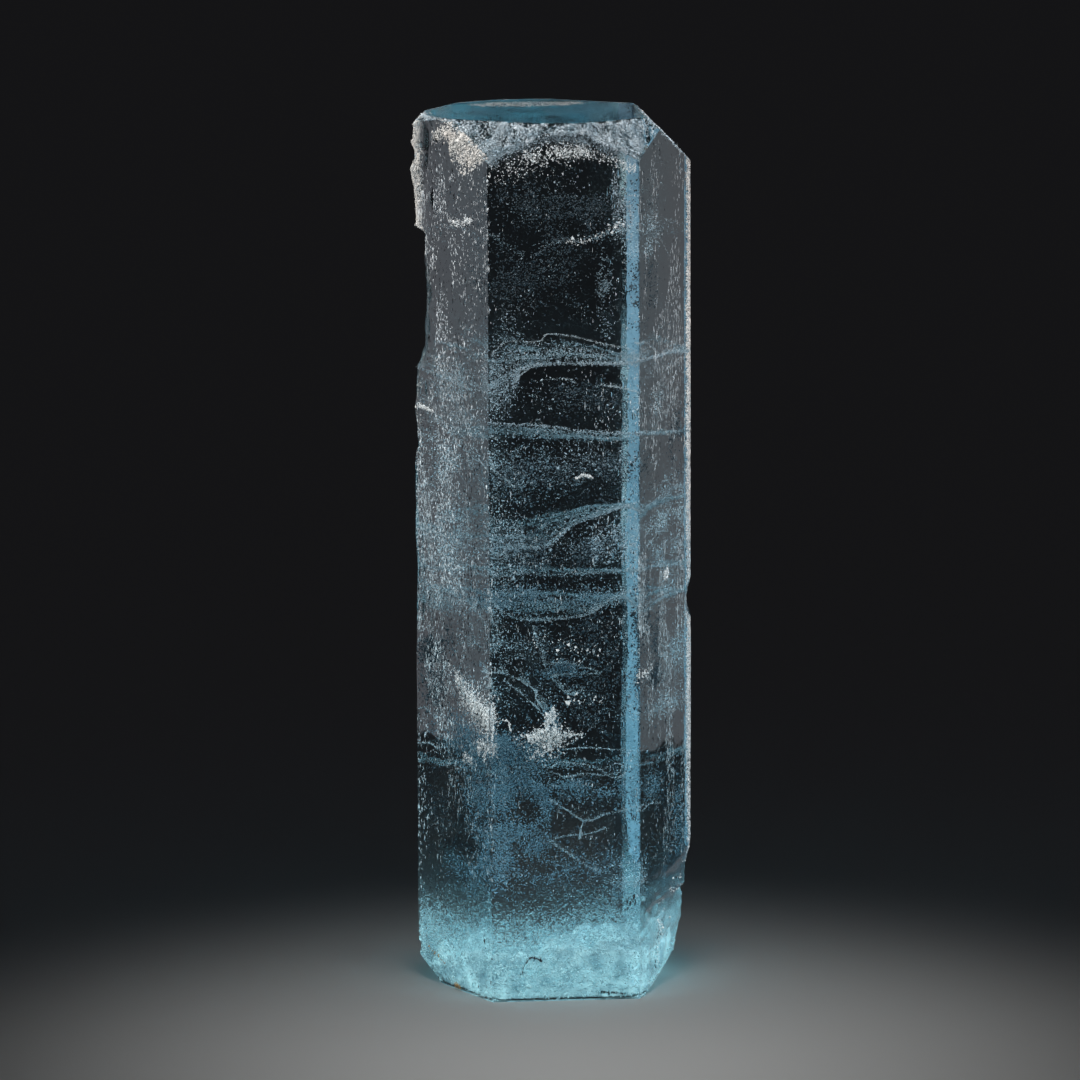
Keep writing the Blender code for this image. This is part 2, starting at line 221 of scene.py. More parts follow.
# Bright clusters: the arch under the bevel, the star, the plume beside it, the eye-shaped bubble and sparks.
# The star and the sparks are painted highlights: white grains for an internal reflection and for glints.
SPARK_FIELDS = (
    Strewn(RIGHT_FRONT, ((4.0, 0.4), (10.4, 1.0)), ((4.0, 6.5), (10.4, 11.0)), 700, (0.02, 0.5), 0.09),
    Strewn(FRONT, ((0.1, 69.8), (2.3, 70.2), (3.9, 70.7), (6.3, 71.3), (8.2, 72.3), (10.5, 71.5),
                   (12.4, 70.8)),
           ((0.1, 71.6), (2.3, 72.5), (3.9, 73.3), (5.5, 73.8), (7.9, 73.3), (10.5, 72.4), (12.4, 71.8)),
           1100, (0.1, 0.9), 0.085),
    Strewn(FRONT, ((3.0, 71.9), (6.0, 72.0), (9.0, 72.4)), ((3.0, 72.9), (6.0, 73.7), (9.0, 73.3)),
           420, (0.1, 0.5), 0.11),
    Strewn(FRONT, ((6.4, 65.0), (8.0, 64.9), (9.6, 65.5), (11.6, 66.3)),
           ((6.4, 65.8), (8.0, 65.6), (9.6, 66.3), (11.6, 67.2)), 130, (0.3, 1.0), 0.10),
    Strewn(FRONT, ((3.6, 30.2), (9.4, 29.6)), ((3.6, 32.2), (9.4, 31.2)), 44, (0.3, 1.0), 0.15),
    Strewn(FRONT, ((6.5, 25.6), (9.6, 25.6)), ((6.5, 26.9), (9.6, 26.4)), 26, (0.3, 1.0), 0.17),
    Strewn(RIGHT_FRONT, ((4.9, 35.4), (5.8, 35.6)), ((4.9, 36.3), (5.8, 36.6)), 170, (0.2, 0.8), 0.13),
    Strewn(RIGHT_FRONT, ((0.3, 27.6), (2.6, 27.9)), ((0.3, 28.5), (2.6, 28.6)), 130, (0.3, 1.0), 0.12),
    Strewn(LEFT_FRONT, ((0.4, 49.9), (2.8, 49.8)), ((0.4, 50.3), (2.8, 49.95)), 420, (0.05, 0.4), 0.10),
    Strewn(LEFT_FRONT, ((5.4, 66.3), (6.5, 66.0), (7.6, 66.2), (9.0, 66.6)),
           ((5.4, 67.0), (6.5, 66.7), (7.6, 66.9), (9.0, 67.2)), 260, (0.05, 0.3), 0.11),
    Strewn(FRONT, ((3.2, 22.7), (4.6, 22.3), (6.0, 22.8)), ((3.2, 23.2), (4.6, 24.0), (6.0, 23.3)),
           620, (0.8, 1.8), 0.14),
    Strewn(FRONT, ((1.9, 22.2), (7.8, 22.6)), ((1.9, 23.5), (7.8, 23.6)), 220, (0.6, 2.0), 0.10),
    Strewn(FRONT, ((4.4, 23.6), (5.5, 24.4)), ((4.6, 24.8), (5.6, 25.7)), 210, (0.8, 1.8), 0.11),
    Strewn(LEFT_FRONT, ((5.8, 26.8), (8.4, 24.9), (11.0, 23.6)), ((5.8, 28.0), (8.4, 27.0), (11.0, 25.2)),
           1200, (0.2, 1.3), 0.125),
    Strewn(LEFT_FRONT, ((8.2, 24.9), (10.9, 23.7)), ((8.2, 26.4), (10.9, 25.3)), 900, (0.1, 0.7), 0.15),
    Strewn(LEFT_FRONT, ((6.5, 24.4), (11.0, 22.9)), ((6.5, 28.0), (11.0, 26.6)), 600, (0.3, 1.6), 0.085),
    Strewn(LEFT_FRONT, ((9.2, 21.4), (11.1, 21.5)), ((9.2, 22.6), (11.1, 22.9)), 300, (0.2, 0.9), 0.11),
    Strewn(LEFT_FRONT, ((7.0, 20.0), (8.4, 20.2)), ((7.0, 21.0), (8.4, 20.9)), 160, (0.3, 1.2), 0.10),
    Strewn(FRONT, ((7.3, 45.1), (8.0, 45.35), (8.8, 45.1)), ((7.3, 45.2), (8.0, 45.65), (8.8, 45.2)),
           260, (0.4, 0.6), 0.09),
)

# White crust on the left-front side's upper corner.
CRUST_FIELDS = (
    Strewn(LEFT_FRONT, ((5.6, 72.0), (6.8, 71.4), (8.0, 71.0), (9.6, 71.8), (11.1, 72.4)),
           ((5.6, 74.4), (6.8, 74.5), (8.0, 74.5), (9.6, 74.2), (11.1, 73.6)), 3200, (0.01, 0.35), 0.15),
    Strewn(LEFT_FRONT, ((3.0, 72.6), (6.0, 73.4)), ((3.0, 74.2), (6.0, 74.6)), 500, (0.01, 0.25), 0.11),
)

STAIN_FIELDS = (
    Strewn(LEFT_FRONT, ((1.2, 2.6), (3.0, 2.0), (4.2, 1.4)), ((1.2, 3.3), (3.0, 2.6), (4.2, 1.9)),
           90, (0.02, 0.15), 0.12),
    Strewn(LEFT_FRONT, ((5.4, 0.2), (6.4, 0.1)), ((5.4, 0.7), (6.4, 0.5)), 60, (0.02, 0.15), 0.12),
)

# Dark marks: the hairline at the foot, the chipped spots over the base and the pits at the mist's edge.
DARK_FIELDS = (
    Strewn(FRONT, ((2.45, 2.4), (2.6, 3.0), (3.2, 3.8), (3.7, 3.75), (4.3, 3.5)),
           ((2.6, 2.5), (2.75, 3.1), (3.3, 3.95), (3.7, 3.9), (4.3, 3.6)), 260, (0.02, 0.08), 0.07),
    Strewn(FRONT, ((9.3, 0.6), (11.4, 0.45)), ((9.3, 0.75), (11.4, 0.6)), 160, (0.02, 0.08), 0.08),
    Strewn(FRONT, ((10.8, 7.6), (12.3, 7.8)), ((10.8, 8.6), (12.3, 9.6)), 90, (0.05, 0.5), 0.12),
    Strewn(FRONT, ((0.1, 5.6), (4.0, 6.4)), ((0.1, 8.4), (4.0, 7.6)), 120, (0.05, 0.6), 0.11),
    Strewn(LEFT_FRONT, ((0.2, 6.0), (11.0, 6.6)), ((0.2, 9.0), (11.0, 8.8)), 260, (0.05, 0.6), 0.11),
    Strewn(RIGHT_FRONT, ((3.0, 0.4), (10.4, 1.0)), ((3.0, 6.0), (10.4, 11.0)), 520, (0.02, 0.4), 0.09),
)

# Clouds: the side they lie behind, centre and radii as (across, height, depth), and the number of flecks.
CLOUDS = (
    (LEFT_FRONT, (6.6, 22.4, 2.5), (3.0, 1.3, 1.5), 1870),
    (LEFT_FRONT, (8.4, 20.8, 3.0), (2.6, 1.6, 1.8), 1870),
    (LEFT_FRONT, (9.0, 17.6, 3.0), (2.2, 2.4, 1.8), 1730),
    (LEFT_FRONT, (10.0, 13.5, 3.0), (1.6, 3.0, 2.0), 1080),
    (FRONT, (1.2, 22.4, 2.5), (1.7, 1.7, 1.5), 1870),
    (FRONT, (3.4, 21.4, 2.5), (1.8, 1.3, 1.5), 1300),
    (FRONT, (2.0, 19.0, 2.5), (1.8, 1.3, 1.5), 940),
    (FRONT, (4.3, 16.6, 2.5), (0.9, 1.6, 1.0), 1080),
    (FRONT, (1.8, 14.6, 2.5), (2.4, 0.8, 1.5), 900),
    (FRONT, (4.0, 13.4, 2.5), (1.3, 0.9, 1.2), 600),
    (FRONT, (3.0, 11.4, 3.0), (3.2, 1.1, 2.0), 650),
    (FRONT, (9.6, 11.8, 3.0), (2.6, 1.0, 2.0), 500),
    (FRONT, (6.8, 18.6, 2.5), (1.6, 0.6, 1.5), 580),
    (FRONT, (9.4, 17.8, 2.5), (2.2, 0.4, 1.5), 360),
    (FRONT, (5.2, 24.4, 2.4), (0.5, 1.6, 0.6), 500),
    (FRONT, (6.2, 28.8, 2.4), (1.8, 0.5, 0.8), 650),
    (FRONT, (7.5, 35.0, 3.0), (3.0, 0.8, 2.0), 1080),
    (FRONT, (2.5, 34.9, 3.0), (2.6, 0.9, 2.0), 1220),
    (FRONT, (3.0, 45.5, 3.0), (2.6, 2.0, 2.5), 940),
    (FRONT, (8.2, 44.9, 0.8), (0.7, 0.35, 0.3), 190),
    (FRONT, (9.9, 60.5, 3.0), (0.5, 3.2, 0.8), 360),
    (FRONT, (2.0, 57.0, 3.0), (1.8, 1.2, 1.5), 320),
    (RIGHT_FRONT, (3.6, 18.2, 3.0), (2.2, 1.4, 2.0), 650),
    (RIGHT_FRONT, (7.6, 14.5, 2.0), (1.3, 3.2, 1.2), 650),
    (LEFT_FRONT, (8.0, 11.0, 2.5), (2.8, 1.5, 1.5), 700),
)

# Haze behind the two slanting sides, brighter than the light that shows through them.
HAZE = (
    (RIGHT_FRONT, (2.6, 66.0, 3.0), (1.8, 2.6, 1.5), 470),
    (RIGHT_FRONT, (3.6, 51.2, 3.0), (1.8, 1.4, 1.5), 360),
    (RIGHT_FRONT, (7.0, 43.0, 3.0), (3.0, 1.6, 1.5), 720),
    (RIGHT_FRONT, (5.0, 34.5, 3.0), (3.0, 1.4, 1.5), 720),
    (LEFT_FRONT, (6.5, 52.5, 3.0), (3.8, 2.0, 2.0), 1440),
    (LEFT_FRONT, (5.5, 46.0, 3.0), (4.0, 3.0, 2.0), 2590),
    (LEFT_FRONT, (5.5, 39.5, 3.0), (4.0, 3.0, 2.0), 2590),
    (LEFT_FRONT, (5.0, 33.6, 3.0), (4.0, 1.6, 2.0), 1440),
    (LEFT_FRONT, (8.2, 28.4, 3.0), (2.4, 2.8, 2.0), 1150),
    (RIGHT_FRONT, (6.0, 38.5, 3.0), (4.0, 2.8, 1.5), 1660),
    (RIGHT_FRONT, (7.5, 29.5, 3.0), (2.8, 4.0, 1.5), 1660),
    (RIGHT_FRONT, (5.0, 24.6, 2.0), (4.0, 0.9, 1.5), 900),
    (RIGHT_FRONT, (1.6, 64.4, 2.0), (1.2, 1.0, 1.0), 260),
    (RIGHT_FRONT, (5.0, 40.6, 2.0), (3.6, 0.9, 1.5), 900),
    (RIGHT_FRONT, (8.6, 36.0, 1.5), (1.4, 5.0, 1.0), 900),
    (FRONT, (11.2, 10.4, 1.2), (1.7, 1.3, 0.9), 700),
    (FRONT, (9.0, 8.4, 1.2), (2.4, 0.9, 0.9), 500),
)

# Bright smoke round the star and the plume.
SMOKE = (
    (FRONT, (4.7, 22.9, 1.4), (1.4, 0.7, 0.6), 600),
    (FRONT, (4.5, 21.8, 1.6), (1.3, 0.8, 0.6), 260),
    (FRONT, (5.3, 24.4, 1.6), (0.5, 0.9, 0.5), 160),
    (LEFT_FRONT, (9.4, 25.4, 0.9), (1.3, 1.2, 0.5), 600),
    (LEFT_FRONT, (10.2, 22.6, 0.9), (0.8, 0.9, 0.5), 260),
)

# Faint haze deep behind the three front sides.
DEEP_HAZE = (
    (FRONT, (6.0, 68.0, 3.0), (6.0, 2.6, 2.0), 2200),
    (FRONT, (4.0, 62.5, 3.0), (4.0, 2.5, 2.0), 1200),
    (FRONT, (8.5, 52.0, 3.0), (3.5, 1.5, 2.0), 700),
    (FRONT, (7.0, 46.0, 3.0), (5.0, 2.5, 2.0), 1500),
    (FRONT, (6.0, 38.8, 3.0), (5.0, 1.5, 2.0), 1200),
    (FRONT, (8.5, 30.5, 3.0), (3.5, 3.0, 2.0), 1500),
    (FRONT, (9.0, 25.5, 3.0), (3.2, 2.0, 2.0), 550),
    (FRONT, (9.0, 18.6, 3.0), (3.0, 2.0, 2.0), 350),
    (FRONT, (8.0, 13.0, 3.0), (4.0, 2.0, 2.0), 400),
    (LEFT_FRONT, (4.0, 16.0, 3.0), (3.5, 4.0, 2.0), 500),
    (RIGHT_FRONT, (5.0, 15.0, 3.0), (4.0, 4.0, 2.0), 500),
    (RIGHT_FRONT, (3.2, 29.0, 1.5), (1.0, 3.5, 1.0), 1300),
    (RIGHT_FRONT, (1.2, 33.0, 1.2), (0.6, 3.0, 0.8), 500),
    (RIGHT_FRONT, (7.6, 47.0, 1.5), (1.4, 2.4, 1.0), 500),
    (RIGHT_FRONT, (2.0, 60.5, 1.5), (1.2, 2.5, 1.0), 350),
    (LEFT_FRONT, (3.0, 29.5, 1.0), (2.8, 2.6, 1.0), 1900),
    (LEFT_FRONT, (2.0, 25.5, 1.0), (2.0, 2.0, 1.0), 1000),
)

# Cracks: the side they lie behind, knots of their edge as (across the side, height, depth), the number of
# flecks, the direction that they fan out in, their reach, and the share of flecks on the edge.
CRACKS = (
    (FRONT, ((0.2, 55.8, 2.0), (1.6, 56.9, 2.0), (4.2, 56.9, 2.0), (5.0, 57.5, 2.0), (7.0, 57.3, 2.0),
             (9.4, 56.7, 2.0), (12.5, 56.0, 2.0)), 900, (0.0, 0.4, -0.2), 0.3, 0.6),
    (FRONT, ((2.3, 53.6, 1.0), (3.0, 54.3, 0.7), (4.4, 54.8, 0.5), (9.4, 54.9, 0.5), (12.5, 54.7, 0.5)),
     1100, (0.0, 0.6, 0.1), 0.4, 0.5),
    (FRONT, ((9.4, 53.1, 1.0), (11.1, 52.8, 0.8), (12.6, 52.4, 0.6)), 420, (0.0, 0.4, 0.2), 0.3, 0.5),
    (FRONT, ((4.4, 53.6, 1.0), (6.2, 53.7, 0.8), (7.4, 53.3, 0.6)), 160, (0.0, 0.4, 0.1), 0.3, 0.5),
    (LEFT_FRONT, ((9.5, 46.9, 2.0), (10.6, 46.2, 1.5)), 160, (0.0, 0.3, 0.1), 0.2, 0.7),
    (FRONT, ((0.2, 46.2, 1.5), (1.0, 45.6, 1.2), (2.2, 44.5, 1.0)), 260, (0.1, 0.3, -0.1), 0.2, 0.7),
    (FRONT, ((3.4, 33.1, 0.6), (5.0, 33.1, 0.6), (7.0, 33.3, 0.6), (8.3, 33.5, 0.6), (9.5, 34.2, 0.6)),
     420, (0.0, 0.3, 0.2), 0.3, 0.7),
    (FRONT, ((8.4, 33.6, 1.0), (9.4, 34.3, 1.0), (10.6, 35.0, 1.0), (12.0, 35.5, 1.0)),
     700, (-0.1, 0.3, 0.2), 0.5, 0.3),
    (FRONT, ((3.6, 32.6, 2.0), (4.0, 31.2, 2.2), (4.4, 29.9, 2.4), (4.9, 28.6, 2.5), (5.8, 27.4, 2.6),
             (6.6, 26.7, 2.8), (7.4, 26.7, 3.0)), 1300, (0.4, 0.5, 0.2), 0.5, 0.3),
    (FRONT, ((4.8, 29.3, 2.0), (6.3, 29.4, 2.2), (7.9, 29.0, 2.4), (9.4, 28.5, 2.4)),
     500, (-0.2, -0.3, 0.3), 0.4, 0.5),
    (FRONT, ((5.3, 28.2, 2.0), (6.3, 28.4, 2.2), (9.4, 28.35, 2.4)), 600, (-0.3, 0.3, 0.4), 0.3, 0.5),
    (FRONT, ((0.1, 28.7, 3.0), (1.4, 28.5, 3.2), (2.7, 27.8, 3.4), (3.7, 27.1, 3.4), (4.0, 26.1, 3.4),
             (4.7, 25.1, 3.4)),
     2300, (0.2, 0.4, 0.25), 0.7, 0.15),
    (FRONT, ((1.1, 28.0, 2.6), (2.4, 27.0, 2.6), (3.7, 25.8, 2.6), (4.5, 24.8, 2.6)),
     700, (0.1, 0.3, 0.2), 0.3, 0.3),
    (FRONT, ((5.0, 20.3, 1.5), (5.8, 20.8, 1.5), (6.9, 20.7, 1.5), (8.2, 20.5, 1.5), (9.3, 20.1, 1.5),
             (10.7, 20.6, 1.5), (11.3, 20.3, 1.5)), 420, (0.0, 0.3, 0.0), 0.2, 0.7),
    (FRONT, ((5.1, 20.0, 1.5), (6.4, 19.5, 1.5), (7.9, 19.8, 1.5), (9.5, 19.6, 1.5), (11.0, 19.8, 1.5)),
     360, (0.0, 0.3, 0.0), 0.2, 0.7),
    (FRONT, ((9.3, 20.1, 1.3), (10.3, 19.4, 1.3), (11.3, 19.6, 1.3), (11.5, 20.4, 1.3)),
     220, (0.0, 0.2, 0.0), 0.15, 0.8),
    (FRONT, ((6.2, 21.9, 1.5), (8.4, 22.0, 1.5), (12.4, 21.6, 1.5)), 420, (0.0, 0.3, 0.0), 0.2, 0.6),
    (FRONT, ((5.0, 17.6, 1.2), (5.9, 17.0, 1.2), (6.9, 16.3, 1.2), (7.7, 15.7, 1.2)),
     420, (0.1, 0.3, 0.2), 0.25, 0.6),
    (FRONT, ((7.7, 15.7, 1.2), (8.6, 15.7, 1.3), (9.8, 16.2, 1.4), (11.5, 16.5, 1.4), (12.5, 16.9, 1.5)),
     650, (0.1, 0.4, 0.3), 0.4, 0.45),
    (FRONT, ((7.9, 15.7, 1.2), (7.6, 14.9, 1.2), (7.5, 14.1, 1.2)), 220, (0.15, 0.2, 0.0), 0.15, 0.7),
    (FRONT, ((5.3, 14.2, 1.4), (6.6, 14.4, 1.4), (8.2, 14.5, 1.4), (9.8, 15.0, 1.4)),
     420, (0.0, 0.4, 0.1), 0.3, 0.5),
    (FRONT, ((4.9, 14.0, 1.2), (6.6, 12.8, 1.2), (7.9, 11.9, 1.2), (9.3, 11.1, 1.2)),
     900, (0.3, 0.3, 0.4), 0.35, 0.35),
    (LEFT_FRONT, ((0.1, 23.6, 0.6), (1.4, 23.9, 0.8), (2.8, 23.2, 0.8)), 500, (0.1, -0.5, 0.2), 0.7, 0.4),
    (LEFT_FRONT, ((0.1, 20.6, 0.5), (1.8, 20.9, 0.8), (3.3, 20.6, 0.8)), 420, (0.1, 0.5, 0.2), 0.5, 0.4),
    (RIGHT_FRONT, ((7.3, 32.7, 0.8), (7.2, 29.0, 0.8), (7.3, 25.3, 0.8), (7.7, 24.1, 0.8)),
     360, (0.0, 0.3, 0.0), 0.2, 0.8),
    (RIGHT_FRONT, ((0.5, 55.0, 1.0), (5.8, 55.1, 1.0), (10.4, 55.1, 1.0)), 360, (0.0, 0.4, 0.1), 0.3, 0.6),
    (LEFT_FRONT, ((3.6, 37.8, 1.5), (6.5, 35.4, 1.5), (10.8, 32.5, 1.5)), 1400, (0.2, 0.6, 0.3), 0.9, 0.1),
    (LEFT_FRONT, ((1.0, 50.4, 1.5), (5.0, 51.6, 1.5), (8.0, 49.6, 1.5), (11.0, 48.6, 1.5)),
     900, (0.2, 0.6, 0.3), 0.5, 0.15),
    (RIGHT_FRONT, ((0.7, 39.9, 1.0), (4.5, 40.9, 1.0), (9.0, 41.2, 1.0)), 700, (0.1, 0.5, 0.2), 0.5, 0.2),
    (RIGHT_FRONT, ((0.3, 38.6, 1.0), (3.0, 39.6, 1.0), (6.0, 41.4, 1.0)), 500, (0.1, 0.5, 0.2), 0.4, 0.2),
    (RIGHT_FRONT, ((0.3, 33.7, 1.0), (3.0, 34.3, 1.0), (6.2, 34.4, 1.0)), 500, (0.1, 0.5, 0.2), 0.4, 0.3),
    (RIGHT_FRONT, ((0.7, 68.3, 0.8), (3.4, 65.6, 0.8), (6.2, 63.1, 0.8)), 160, (0.1, 0.4, 0.2), 0.3, 0.5),
    (RIGHT_FRONT, ((0.2, 56.6, 0.8), (1.6, 56.3, 0.8), (3.4, 55.4, 0.8)), 220, (0.0, 0.4, 0.2), 0.25, 0.5),
    (RIGHT_FRONT, ((0.3, 16.3, 0.8), (2.0, 16.6, 0.8), (4.2, 16.2, 0.8)), 260, (0.0, 0.4, 0.2), 0.3, 0.4),
)

# Bright cracks: the arms of the star and the plume on its left. The star's arms are a painted highlight: white
# grains for an internal reflection.
BRIGHT_CRACKS = (
    (LEFT_FRONT, ((6.0, 27.9, 1.2), (7.4, 26.4, 1.2), (8.8, 25.1, 1.3), (10.3, 24.4, 1.4)),
     2200, (-0.45, 0.3, 0.4), 0.8, 0.1),
    (LEFT_FRONT, ((8.6, 25.4, 0.8), (10.3, 24.4, 0.8), (11.0, 23.6, 0.8)),
     1500, (-0.4, 0.25, 0.3), 0.5, 0.2),
    (LEFT_FRONT, ((10.8, 24.0, 0.8), (10.7, 22.6, 0.8), (10.3, 20.8, 0.8)),
     220, (-0.25, 0.2, 0.2), 0.4, 0.2),
    (FRONT, ((4.9, 23.4, 1.6), (4.0, 23.3, 1.6), (2.6, 23.1, 1.6)), 300, (0.1, 0.25, -0.2), 0.35, 0.3),
    (FRONT, ((4.8, 23.4, 1.6), (6.0, 23.2, 1.6), (7.8, 23.2, 1.6)), 200, (0.1, 0.2, -0.2), 0.25, 0.35),
    (FRONT, ((4.7, 22.4, 1.6), (4.8, 23.8, 1.6), (5.3, 25.6, 1.6)), 420, (0.15, 0.2, 0.0), 0.3, 0.35),
    (FRONT, ((0.1, 24.3, 1.0), (1.4, 24.5, 1.0), (1.7, 23.6, 1.0)), 110, (0.0, -0.3, 0.2), 0.3, 0.5),
)

# The skin's grid: columns along each side, and rows up it.
SIDE_COLUMNS = np.array([60, 46, 26, 26, 26, 70])
BASE_RINGS = 12
CHIP_ROWS = 8
SIDE_ROWS = 250
FACET_ROWS = 20
TOP_RINGS = 18

# The etched layer on the right-rear side: its range in y, its ends, its two depths, and its grid.
PLATE_SPAN = (6.85, 8.5)
PLATE_HEIGHTS = (10.0, 71.6)
PLATE_DEPTHS = (0.08, 0.16)
PLATE_COLUMNS = 24
PLATE_ROWS = 260

# The milky heart of the foot: its grid, its share of the outline, the height of its underside, and how it is
# pulled to the axis, in small steps, until it is clear of the skin.
CORE_SIDE_COLUMNS = 40
CORE_ROWS = 74
CORE_RINGS = 10
CORE_WIDTH = 0.88
CORE_FLOOR = 0.10
CORE_CLEARANCE = 0.8
CORE_PULLS, CORE_PULL = 90, 0.985

# The mist over it: places tried, grains kept at most, and the height that it stays under.
MIST_TRIES = 400000
MIST_GRAINS = 37000
MIST_CEILING = 14.0


# ---------------------------------------------------------------- settings

class AquamarineBody(bpy.types.PropertyGroup):
    """Sizes of the prism and the optics of its beryl"""

    height: FloatProperty(
        name="Height", description="Length of the prism", default=node_high.z - node_low.z,
        min=0.01, unit="LENGTH",
    )
    left_front: FloatProperty(
        name="Left front width", description="Width of the left-front face", default=0.0112, unit="LENGTH",
    )
    front: FloatProperty(
        name="Front width", description="Width of the front face", default=0.0127, unit="LENGTH",
    )
    right_front: FloatProperty(
        name="Right front width", description="Width of the right-front face", default=0.0105, unit="LENGTH",
    )
    rear: FloatProperty(
        name="Rear width", description="Width of the rear face", default=0.0125, unit="LENGTH",
    )
    ior: FloatProperty(
        name="Refractive index", description="Beryl's mean refractive index", default=BERYL_IOR, min=1.0,
    )
    absorption: FloatVectorProperty(
        name="Depth colour", description="Colour that white light keeps as it crosses the crystal",
        default=(0.25, 0.80, 0.92), subtype="COLOR", min=0.0, max=1.0,
    )
    density: FloatProperty(
        name="Depth density", description="Absorption of a metre of crystal", default=18.0, min=0.0,
    )


class AquamarineInclusions(bpy.types.PropertyGroup):
    """Seed and grain of what lies inside the crystal"""

    seed: IntProperty(name="Seed", description="Start of every random draw", default=7)
    mist_size: FloatProperty(
        name="Mist grain", description="Mean size of a grain of the mist in the foot", default=0.00010,
        unit="LENGTH",
    )
    film_size: FloatProperty(
        name="Film grain", description="Mean size of a grain of the films in the healed fractures",
        default=0.000085, unit="LENGTH",
    )


class AquamarineStage(bpy.types.PropertyGroup):
    """Size and light of the floor"""

    floor_size: FloatProperty(
        name="Floor size", description="Width of the floor", default=6.0, unit="LENGTH",
    )
    pool: FloatProperty(
        name="Pool of light", description="Power of the soft light on the floor", default=0.0045,
        unit="POWER",
    )


# ---------------------------------------------------------------- small helpers

def linear(hex_colour):
    """The sRGB colour #rrggbb as linear red, green, blue and alpha."""
    values = [int(hex_colour[i:i + 2], 16) / 255 for i in (1, 3, 5)]
    return [v / 12.92 if v <= 0.04045 else ((v + 0.055) / 1.055) ** 2.4 for v in values] + [1.0]


def add_node(tree, kind, settings=None, **inputs):
    """Adds a node. Settings go to its properties. Inputs are named as its sockets, with _ for a space, and
    take a value or the output that feeds them."""
    node = tree.nodes.new(kind)
    for name, value in (settings or {}).items():
        setattr(node, name, value)
    for name, value in inputs.items():
        socket = node.inputs[int(name[1:])] if name[1:].isdigit() else node.inputs[name.replace("_", " ")]
        if isinstance(value, bpy.types.NodeSocket):
            tree.links.new(value, socket)
        else:
            socket.default_value = value
    return node


def new_material(name):
    """An empty node material and its output node."""
    material = bpy.data.materials.new(name)
    material.use_nodes = True
    material.node_tree.nodes.clear()
    output = material.node_tree.nodes.new("ShaderNodeOutputMaterial")
    return material, material.node_tree, output


def lit_group(name):
    """The collection of this name, which lamps are linked to. It is made at its first use."""
    return bpy.data.collections.get(name) or bpy.data.collections.new(name)


def make_piece(name, points, faces, material, attributes=None, group="inclusions"):
    """A mesh piece of the crystal from arrays: points in millimetres round the prism's axis, and faces as an
    array of triangles or quads. It rides on the root body and joins a lit group."""
    mesh = bpy.data.meshes.new(name)
    points[:, 2] = np.clip(points[:, 2], 0, (node_high.z - node_low.z) / MM)
    faces = [faces] if isinstance(faces, np.ndarray) else faces
    points = (points + AXIS_IN_FRAME) * MM
    corners = np.concatenate([part.ravel() for part in faces])
    sizes = np.concatenate([np.full(len(part), part.shape[1]) for part in faces])
    mesh.vertices.add(len(points))
    mesh.vertices.foreach_set("co", points.astype(np.float32).ravel())
    mesh.loops.add(len(corners))
    mesh.loops.foreach_set("vertex_index", corners.astype(np.int32))
    mesh.polygons.add(len(sizes))
    mesh.polygons.foreach_set("loop_start", (np.cumsum(sizes) - sizes).astype(np.int32))
    mesh.update(calc_edges=True)
    for label, values in (attributes or {}).items():
        layer = mesh.attributes.new(label, "FLOAT", "POINT")
        layer.data.foreach_set("value", values.astype(np.float32).ravel())
    mesh.materials.append(material)
    mesh.validate()
    piece = bpy.data.objects.new(name, mesh)
    bpy.context.scene.collection.objects.link(piece)
    lit_group(group).objects.link(piece)
    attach(piece, "root")
    return piece


def lattice_noise(points, seed):
    """Value noise from -1 to 1: a random value at each whole-number point, blended between the eight round a
    point by smooth steps."""
    cell = np.floor(points).astype(np.int64)
    share = points - cell
    share = share * share * (3 - 2 * share)
    total = np.zeros(points.shape[:-1])
    for corner in itertools.product((0, 1), repeat=3):
        key = (cell + corner) @ np.array([374761393, 668265263, 1274126177]) + seed * 974634777
        key = (key ^ (key >> 13)) * 1103515245 & 0x7FFFFFFF
        value = (key ^ (key >> 15)) % 65536 / 32767.5 - 1
        total += value * np.prod(np.where(corner, share, 1 - share), axis=-1)
    return total


def fractal(points, size, octaves=3, seed=0, stretch=(1, 1, 1)):
    """Octaves of lattice noise, each half the size and half the height of the one before."""
    scaled = points / (size * np.array(stretch, float))
    return sum(0.5 ** k * lattice_noise(scaled * 2 ** k, seed + 17 * k) for k in range(octaves))


def smooth(low, high, value):
    """A smooth step from 0 at low to 1 at high."""
    share = np.clip((value - low) / (high - low), 0, 1)
    return share * share * (3 - 2 * share)


# ---------------------------------------------------------------- the prism's form

def along(turn):
    """Unit vectors in plan at these angles."""
    return np.stack([np.cos(turn), np.sin(turn)], axis=-1)


